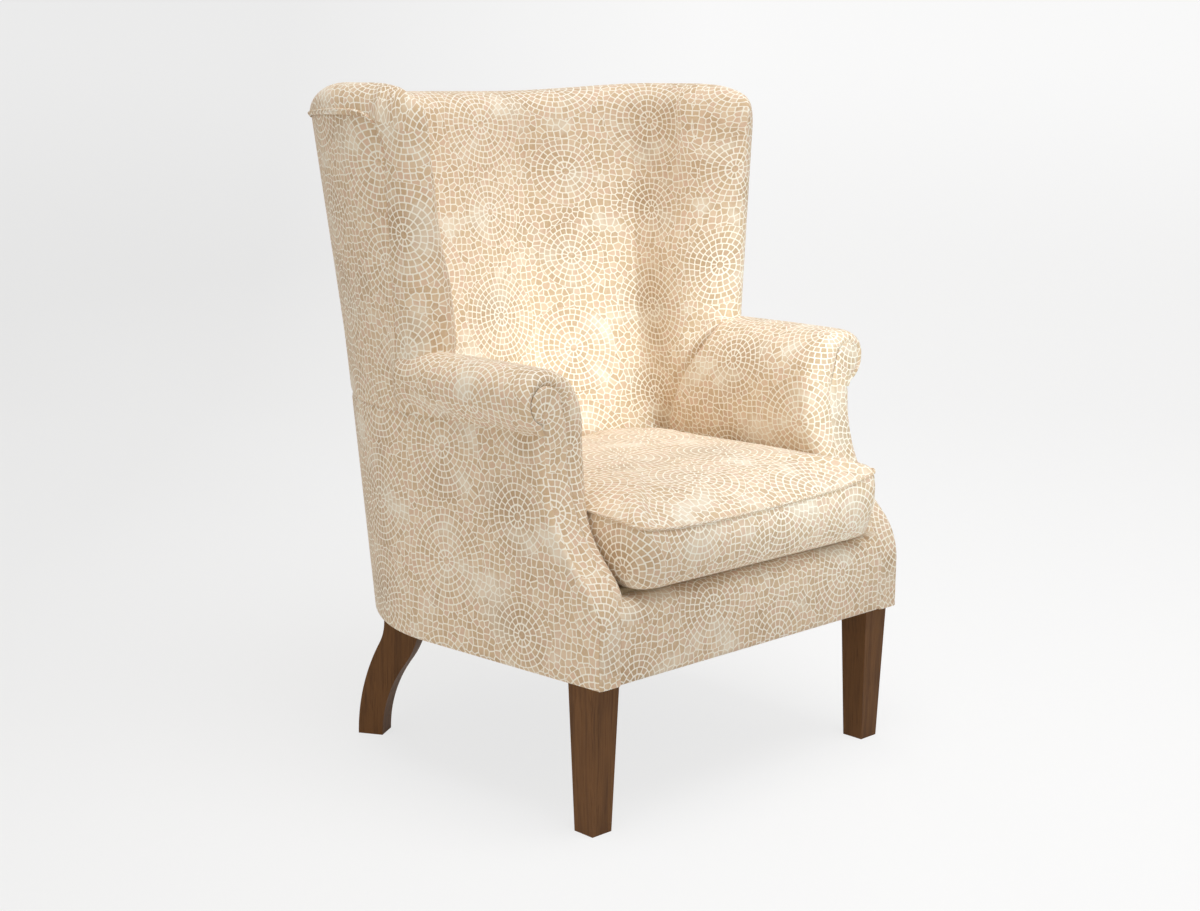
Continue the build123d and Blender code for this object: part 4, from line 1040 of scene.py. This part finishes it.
def cloth_material():
    """Printed cloth: a laid-stone mosaic of ringed rounds in half-drop rows, small stones between."""
    sh = Shader("mosaic_print_cloth")
    u, v, _ = sh.parts(sh.add("ShaderNodeUVMap", uv_map="cloth").outputs[0])
    u, v = sh.times(u, 1000.0), sh.times(v, 1000.0)
    flat = sh.vector(u, v)
    _, wobble = sh.noise(flat, 0.016, 1.0)
    wx, wy, _ = sh.parts(wobble)
    uw = sh.scaled(sh.minus(wx, 0.5), 9.0, u)
    vw = sh.scaled(sh.minus(wy, 0.5), 9.0, v)
    pitch_u, pitch_v, stone = 300.0, 160.0, 9.9
    middle, narrow, wide_ring = 6.4, 16.0, 26.4

    def nearest(index, shift_u, shift_v):
        a = sh.minus(uw, shift_u)
        b = sh.minus(vw, shift_v)
        cell_u = sh.math("ROUND", sh.math("DIVIDE", a, pitch_u))
        cell_v = sh.math("ROUND", sh.math("DIVIDE", b, pitch_v))
        _, roll = sh.random(sh.vector(cell_u, cell_v, 3.7 + index))
        r, g, seed = sh.parts(roll)
        du = sh.scaled(cell_u, -pitch_u, a)
        dv = sh.scaled(cell_v, -pitch_v, b)
        du = sh.scaled(sh.minus(r, 0.5), 22.0, du)
        dv = sh.scaled(sh.minus(g, 0.5), 22.0, dv)
        away = sh.math("SQRT", sh.scaled(du, du, sh.times(dv, dv)))
        return du, dv, away, seed

    first, second = nearest(0, 40.0, 22.0), nearest(1, 40.0 + pitch_u / 2, 22.0 + pitch_v / 2)
    closer = sh.below(second[2], first[2])
    du, dv, away, seed = (sh.pick(closer, a, b) for a, b in zip(first, second))
    gap = sh.math("ABSOLUTE", sh.minus(first[2], second[2]))

    # Rings of stones: a middle stone, a ring of narrow ones, a ring of wide ones, then even rings
    rings = sh.times(sh.most(sh.minus(away, wide_ring), 0.0), 1.0 / stone)
    for low, high in ((0.0, middle), (middle, narrow), (narrow, wide_ring)):
        rings = sh.plus(rings, sh.step(away, low, high, "LINEAR"))
    ring = sh.math("FLOOR", rings)
    radial = sh.math("FRACT", rings)
    radial = sh.least(radial, sh.minus(1.0, radial))
    wide = sh.pick(sh.below(ring, 2.5), stone, 10.4)
    radial = sh.times(radial, sh.pick(sh.below(ring, 1.5), wide, 9.6))
    stones = sh.math("ROUND", sh.scaled(ring, 6.2, 1.0))
    stones = sh.pick(sh.below(ring, 2.5), stones, 14.0)
    stones = sh.pick(sh.below(ring, 1.5), stones, 11.0)
    turned, _ = sh.random(sh.vector(ring, seed, 1.3))
    angle = sh.scaled(sh.math("ARCTAN2", dv, du), 1.0 / (2.0 * math.pi), turned)
    angle = sh.times(angle, stones)
    brick = sh.math("FLOOR", angle)
    side_way = sh.math("FRACT", angle)
    side_way = sh.least(side_way, sh.minus(1.0, side_way))
    arc = sh.math("DIVIDE", sh.times(away, 2.0 * math.pi), stones)
    side_way = sh.times(side_way, arc)
    side_way = sh.pick(sh.below(ring, 0.5), side_way, middle)
    radial = sh.pick(sh.below(ring, 0.5), radial, sh.minus(middle, away))
    thick = sh.math("ABSOLUTE", sh.minus(away, narrow))
    radial = sh.minus(radial, sh.times(sh.below(thick, 4.0), 0.35))
    ring_joint = sh.math("SMOOTH_MIN", radial, side_way, 1.6)
    ring_joint = sh.least(ring_joint, sh.times(gap, 0.5))

    # Irregular stones beyond the last ring
    limit, _ = sh.random(sh.vector(seed, 8.1, 2.2))
    extra = sh.math("FLOOR", sh.times(limit, 2.99))
    limit = sh.scaled(extra, stone, wide_ring + 3.0 * stone)
    outside = sh.math("GREATER_THAN", away, limit)
    cells = sh.vector(sh.math("DIVIDE", uw, stone * 1.08), sh.math("DIVIDE", vw, stone * 1.08))
    edge = sh.add("ShaderNodeTexVoronoi", voronoi_dimensions="2D", feature="DISTANCE_TO_EDGE")
    names = sh.add("ShaderNodeTexVoronoi", voronoi_dimensions="2D", feature="F1")
    for node in (edge, names):
        sh.link(cells, node.inputs["Vector"])
        node.inputs["Scale"].default_value = 1.0
        node.inputs["Randomness"].default_value = 0.7
    loose_joint = sh.times(edge.outputs["Distance"], stone * 1.08)
    joint = sh.pick(outside, ring_joint, loose_joint)
    ragged, _ = sh.noise(flat, 0.35, 2.0, 0.6)
    joint = sh.plus(joint, sh.scaled(ragged, 1.0, -0.5))
    painted = sh.step(joint, 0.45, 1.35)

    # Stone colours, darker to one side of each round and washed out in patches
    ring_name, _ = sh.random(sh.vector(brick, ring, seed))
    name = sh.pick(outside, ring_name, sh.parts(names.outputs["Color"])[0])
    stone_colour = sh.ramp(name, [
        (0.0, colour(206, 176, 142)),
        (0.25, colour(214, 186, 151)),
        (0.5, colour(220, 193, 159)),
        (0.75, colour(222, 190, 163)),
        (1.0, colour(230, 207, 176)),
    ])
    wash, _ = sh.noise(flat, 0.0115, 3.0, 0.55)
    pale = sh.times(sh.step(wash, 0.52, 0.68), 0.74)
    stone_colour = sh.mix(pale, stone_colour, colour(242, 231, 211))
    sx = sh.times(sh.plus(du, 20.0), 1.0 / 50.0)
    sy = sh.times(sh.minus(dv, 14.0), 1.0 / 34.0)
    cloud = sh.scaled(sx, sx, sh.times(sy, sy))
    cloud = sh.math("EXPONENT", sh.times(cloud, -1.0))
    mood, _ = sh.random(sh.vector(seed, 4.4, 9.6))
    cloud = sh.times(cloud, sh.step(mood, 0.2, 0.75))
    drift, _ = sh.noise(sh.vector(sh.plus(u, 431.0), v), 0.012, 2.0)
    cloud = sh.most(cloud, sh.times(sh.step(drift, 0.52, 0.75), 0.75))
    stone_colour = sh.mix(sh.times(cloud, 0.72), stone_colour, colour(182, 150, 113))
    mottle, _ = sh.noise(flat, 0.16, 2.0, 0.6)
    mottle = sh.times(sh.step(mottle, 0.42, 0.75), 0.3)
    stone_colour = sh.mix(mottle, stone_colour, colour(233, 214, 188))
    joint_colour = sh.mix(sh.times(wash, 0.5), colour(250, 244, 230), colour(246, 240, 228))
    final = sh.mix(painted, joint_colour, stone_colour)

    # Plain weave with slubs
    turn = 2.0 * math.pi / 1.15
    warp, weft = (sh.math("SINE", sh.times(way, turn)) for way in (u, v))
    weave = sh.times(warp, weft)
    slub, _ = sh.noise(sh.vector(sh.times(u, 0.25), v), 0.9, 2.0)
    fibre = sh.scaled(slub, 0.6, sh.times(weave, 0.4))
    final = sh.mix(sh.times(sh.step(fibre, 0.1, 0.9), 0.06), final, colour(150, 126, 98))
    sh.link(final, sh.surface.inputs["Base Color"])
    sh.link(sh.scaled(slub, 0.12, 0.78), sh.surface.inputs["Roughness"])
    sh.surface.inputs["Specular IOR Level"].default_value = 0.25
    sh.surface.inputs["Sheen Weight"].default_value = 0.12
    sh.surface.inputs["Sheen Roughness"].default_value = 0.5
    soft, _ = sh.noise(flat, 0.014, 2.0)
    low = sh.bump(soft, 0.10, 0.004)
    sh.link(sh.bump(fibre, 0.22, 0.0005, low), sh.surface.inputs["Normal"])
    return sh.material


def wood_material(name, dark, light, pore, scale, roughness):
    """Straight-grained timber, the grain running up the piece."""
    sh = Shader(name)
    where = sh.add("ShaderNodeTexCoord").outputs["Object"]
    x, y, z = sh.parts(where)
    drawn = sh.vector(sh.times(x, 0.4), sh.times(y, 0.4), sh.times(z, 0.5))
    _, bend = sh.noise(drawn, 9.0, 2.0)
    bx, by, _ = sh.parts(bend)
    gx = sh.scaled(bx, 0.016, x)
    gy = sh.scaled(by, 0.016, y)
    long = sh.vector(gx, gy, sh.times(z, 0.045))
    grain, _ = sh.noise(long, scale, 5.0, 0.62)
    fine, _ = sh.noise(sh.vector(gx, gy, sh.times(z, 0.02)), scale * 6.0, 3.0, 0.6)
    bands = sh.ramp(grain, [(0.3, dark), (0.52, light), (0.72, dark)])
    shade = sh.mix(sh.times(sh.step(fine, 0.52, 0.7), 0.55), bands, pore)
    blotch, _ = sh.noise(where, 14.0, 2.0)
    shade = sh.mix(sh.times(sh.step(blotch, 0.45, 0.7), 0.18), shade, light)
    sh.link(shade, sh.surface.inputs["Base Color"])
    sh.link(sh.scaled(fine, 0.2, roughness), sh.surface.inputs["Roughness"])
    sh.surface.inputs["Specular IOR Level"].default_value = 0.22
    sh.link(sh.bump(fine, 0.25, 0.0006), sh.surface.inputs["Normal"])
    return sh.material


def plain_cloth_material(name, first, second, pitch):
    """Undyed or black utility cloth with a visible weave."""
    sh = Shader(name)
    x, y, z = sh.parts(sh.add("ShaderNodeTexCoord").outputs["Object"])
    turn = 2.0 * math.pi / pitch
    a = sh.math("SINE", sh.times(x, turn))
    b = sh.math("SINE", sh.times(sh.plus(y, z), turn))
    weave = sh.times(a, b)
    slub, _ = sh.noise(sh.vector(x, sh.times(y, 0.3), z), 260.0, 2.0)
    blend = sh.scaled(weave, 0.2, slub)
    sh.link(sh.mix(sh.step(blend, 0.25, 0.8), first, second), sh.surface.inputs["Base Color"])
    sh.link(sh.scaled(slub, 0.1, 0.82), sh.surface.inputs["Roughness"])
    sh.surface.inputs["Specular IOR Level"].default_value = 0.2
    sh.link(sh.bump(blend, 0.3, 0.0006), sh.surface.inputs["Normal"])
    return sh.material


def metal_material(name, tone, roughness):
    sh = Shader(name)
    where = sh.add("ShaderNodeTexCoord").outputs["Object"]
    smear, _ = sh.noise(where, 180.0, 3.0, 0.6)
    dulled = sh.mix(sh.times(smear, 0.4), tone, colour(120, 116, 108))
    sh.link(dulled, sh.surface.inputs["Base Color"])
    sh.surface.inputs["Metallic"].default_value = 1.0
    sh.link(sh.scaled(smear, 0.2, roughness), sh.surface.inputs["Roughness"])
    return sh.material


# Putting the pieces together
cloth = cloth_material()


def dress(piece, node, material=cloth, body="chair"):
    piece.data.materials.clear()
    piece.data.materials.append(material)
    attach(piece, body)
    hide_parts(node)
    return piece


def both_sides(name, node, grids, right_way, shift=None):
    """A pair of pieces, each with its own cut of the cloth or with the print carried on from the back."""
    point, direction = right_way
    right_cut = left_cut = (0.0, 0.0)
    if shift is not None:
        right_cut, left_cut = shift, (shift[0] + 0.061, shift[1] + 0.033)
    right = make_piece(f"{name}_right", shift_cloth(grids, *right_cut), outward=right_way)
    mirrored_way = ((-point[0], point[1], point[2]), (-direction[0], direction[1], direction[2]))
    left = make_piece(f"{name}_left", shift_cloth(mirror_grids(grids), *left_cut), outward=mirrored_way)
    dress(right, f"{node}_right")
    dress(left, f"{node}_left")


dress(make_inside_back(), "inside_back")
both_sides("inside_wing_pad", "inside_wing", WING_UPPER, ((0.28, 0.05, 0.8), (-1, 0, 0)))
dress(make_outside_back(), "outside_back")
wing_way, arm_way = ((0.36, 0.03, 0.8), (1, 0, 0)), ((0.34, -0.2, 0.4), (1, 0, 0))
pad_way, facing_way = ((0.262, -0.1, 0.42), (-1, 0, 0)), ((0.305, -0.4, 0.26), (0, -1, 0))
both_sides("outside_wing_panel", "outside_wing", wing_panel_grids(), wing_way, (0.11, 0.02))
both_sides("outside_arm_panel", "outside_arm", arm_panel_grids(), arm_way, (0.02, 0.04))
both_sides("inside_arm_pad", "inside_arm", arm_pad_grids(), pad_way, (0.05, 0.0))
both_sides("arm_facing_panel", "arm_facing", facing_grids(), facing_way, (0.0, 0.03))
dress(make_front_border(), "front_border")
dress(make_back_welt(), "back_welt")
dress(make_cushion(), "seat_cushion_cover", body="seat_cushion")
welt = make_cushion_welt()
welt.data.materials.append(cloth)
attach(welt, "seat_cushion")

deck_cloth = plain_cloth_material("deck_felt_cloth", colour(176, 160, 132), colour(206, 192, 164), 0.0016)
dust_cloth = plain_cloth_material("dust_cover_black", colour(16, 16, 17), colour(38, 38, 40), 0.0012)
jute = plain_cloth_material("jute_webbing", colour(146, 118, 78), colour(186, 158, 112), 0.0022)
foam = plain_cloth_material("wadding_wrap", colour(226, 218, 194), colour(240, 234, 216), 0.003)
tape = plain_cloth_material("zip_tape_cloth", colour(178, 154, 122), colour(198, 176, 144), 0.0011)
stain = (colour(84, 54, 27), colour(112, 75, 40), colour(66, 41, 20))
leg_wood = wood_material("stained_leg_wood", *stain, 70.0, 0.5)
pale = (colour(196, 158, 114), colour(219, 184, 140), colour(170, 130, 90))
beech = wood_material("plain_beech", *pale, 60.0, 0.55)
steel = metal_material("zinc_plated_steel", colour(176, 174, 168), 0.32)
brass = metal_material("old_brass", colour(168, 140, 88), 0.36)

dress(make_deck(), "seat_deck", deck_cloth)
cover = make_dust_cover()
dress(cover, "dust_cover", dust_cloth)

finishes = {"leg_wood": leg_wood, "frame_wood": beech, "dowel_wood": beech, "fixing_steel": steel}
finishes |= {"slider_metal": brass, "zip_tape": tape, "webbing": jute, "cushion_foam": foam}
for part in frame["record"]["subparts"]:
    if part["material_slot"] in finishes:
        node = frame["nodes"][part["node"]]
        node.data.materials.clear()
        node.data.materials.append(finishes[part["material_slot"]])


# Floor, backdrop and light
def backdrop_material():
    """Pale sweep with painted light: to the camera it glows grey at the left to white at the right, more
    strongly higher up, and it keeps a soft shadow.
    """
    sh = Shader("studio_sweep")
    x, y, z = sh.parts(sh.add("ShaderNodeNewGeometry").outputs["Position"])
    # painted light: a grey-to-white gradient across the view stands in for the lamps' fall-off on the
    # backdrop
    across = sh.scaled(x, 0.72, sh.times(y, -0.69))
    tone = sh.ramp(sh.scaled(across, 0.25, 0.5), [
        (0.2, colour(240, 240, 240)),
        (0.45, colour(249, 249, 249)),
        (0.62, colour(255, 255, 255)),
        (1.0, colour(255, 255, 255)),
    ])
    sh.surface.inputs["Base Color"].default_value = (0.86, 0.86, 0.86, 1.0)
    sh.surface.inputs["Roughness"].default_value = 0.9
    sh.surface.inputs["Specular IOR Level"].default_value = 0.0
    painted_glow = sh.add("ShaderNodeEmission")
    sh.link(tone, painted_glow.inputs[0])
    # painted light: the glow's share grows with height, so the wall shows less shade
    share = sh.scaled(sh.step(z, 0.2, 1.2), 0.12, 0.78)
    path = sh.add("ShaderNodeLightPath")
    painted_glow_share = sh.most(path.outputs["Is Camera Ray"], path.outputs["Is Glossy Ray"])
    painted_glow_share = sh.times(sh.most(painted_glow_share, path.outputs["Is Transmission Ray"]), share)
    blend = sh.add("ShaderNodeMixShader")
    sh.link(painted_glow_share, blend.inputs[0])
    sh.link(sh.surface.outputs[0], blend.inputs[1])
    sh.link(painted_glow.outputs[0], blend.inputs[2])
    sh.link(blend.outputs[0], sh.output.inputs[0])
    return sh.material


def make_backdrop():
    """Floor that turns up into a wall behind the chair."""
    profile = [(-9.0, 0.0), (-4.0, 0.0), (0.0, 0.0), (2.0, 0.0), (3.0, 0.0)]
    for angle in np.radians(np.linspace(8.0, 90.0, 14)):
        profile.append((3.0 + 2.0 * math.sin(angle), 2.0 - 2.0 * math.cos(angle)))
    profile += [(5.0, 4.0), (5.0, 7.0)]
    angle = math.radians(-43.9)
    way = np.array([-math.sin(angle), math.cos(angle)])
    across = np.array([math.cos(angle), math.sin(angle)])
    rows = []
    for run, height in profile:
        rows.append([(*(way * run + across * w), height) for w in np.linspace(-9.0, 9.0, 13)])
    points = np.array(rows)
    grids = [(points, points[..., :2].copy())]
    sweep_piece = make_piece("studio_sweep", grids, thickness=0.0, outward=((0, 0, 0), (0, 0, 1)))
    sweep_piece.data.materials.append(backdrop_material())


def pose_matrix(right, up, back, place_of):
    """Matrix of a lamp or camera from its own axes and its place."""
    matrix = np.eye(4)
    matrix[:3] = np.stack([right, up, back, place_of], -1)
    return Matrix(matrix.tolist())


def hang(name, lamp, power, tint, source, target):
    """Put a lamp in its place and turn it to its target."""
    lamp.energy = power
    lamp.color = tint
    way = np.asarray(target, float) - np.asarray(source, float)
    way /= np.linalg.norm(way)
    side_way = np.cross(way, [0.0, 0.0, 1.0])
    side_way /= np.linalg.norm(side_way)
    holder = bpy.data.objects.new(name, lamp)
    holder.matrix_world = pose_matrix(side_way, np.cross(side_way, way), -way, source)
    scene.collection.objects.link(holder)
    return holder


def add_lamp(name, source, target, size, power, tint):
    lamp = bpy.data.lights.new(name, "AREA")
    lamp.shape = "DISK"
    lamp.size = size
    hang(name, lamp, power, tint, source, target).visible_camera = False


def add_spot(name, source, target, angle, size, power, tint):
    """Soft spot that reaches in between the arms."""
    lamp = bpy.data.lights.new(name, "SPOT")
    lamp.spot_size = math.radians(angle)
    lamp.spot_blend = 1.0
    lamp.shadow_soft_size = size
    hang(name, lamp, power, tint, source, target)


def add_world():
    world = bpy.data.worlds.new("studio")
    scene.world = world
    world.use_nodes = True
    background = world.node_tree.nodes["Background"]
    background.inputs[0].default_value = (1.0, 0.98, 0.95, 1.0)
    path = world.node_tree.nodes.new("ShaderNodeLightPath")
    strength = world.node_tree.nodes.new("ShaderNodeMath")
    strength.operation = "MULTIPLY_ADD"
    world.node_tree.links.new(path.outputs["Is Camera Ray"], strength.inputs[0])
    strength.inputs[1].default_value = 0.48
    strength.inputs[2].default_value = 0.41
    world.node_tree.links.new(strength.outputs[0], background.inputs[1])


def add_camera():
    """Camera at the photograph's place: turned 43.9 degrees to the chair's left, 11.2 degrees down."""
    turn, tilt, roll = math.radians(-43.924), math.radians(11.174), math.radians(0.343)
    forward = np.array([-math.sin(turn) * math.cos(tilt), math.cos(turn) * math.cos(tilt), -math.sin(tilt)])
    right = np.array([math.cos(turn), math.sin(turn), 0.0])
    up = np.cross(right, forward)
    cos, sin = math.cos(roll), math.sin(roll)
    spot = (-2.06462, -1.80251 - MIDDLE / 1000.0, 1.04375)
    data = bpy.data.cameras.new("camera")
    data.sensor_width = 36.0
    data.lens = 1919.69 / 1200.0 * 36.0
    data.clip_end = 60.0
    camera = bpy.data.objects.new("camera", data)
    camera.matrix_world = pose_matrix(cos * right + sin * up, cos * up - sin * right, -forward, spot)
    scene.collection.objects.link(camera)
    scene.camera = camera


make_backdrop()
add_lamp("key", (-0.2, -0.95, 3.6), (0.0, 0.05, 0.55), 2.8, 75.0, (0.97, 0.985, 1.0))
add_lamp("fill", (2.4, -2.8, 1.2), (0.0, -0.2, 0.3), 2.2, 10.0, (1.0, 0.92, 0.8))
add_lamp("side", (-3.5, -0.6, 0.65), (0.0, 0.0, 0.3), 2.2, 20.0, (1.0, 0.92, 0.79))
add_lamp("rear", (1.6, 3.2, 2.0), (0.0, 0.3, 0.6), 2.0, 10.0, (1.0, 0.98, 0.95))
add_spot("seat_spot", (-0.2, -2.6, 1.05), (0.2, 0.15, 0.56), 15.5, 0.22, 250.0, (0.77, 0.93, 1.0))
add_world()
add_camera()
scene.view_settings.view_transform = "Standard"

bpy.context.view_layer.update()
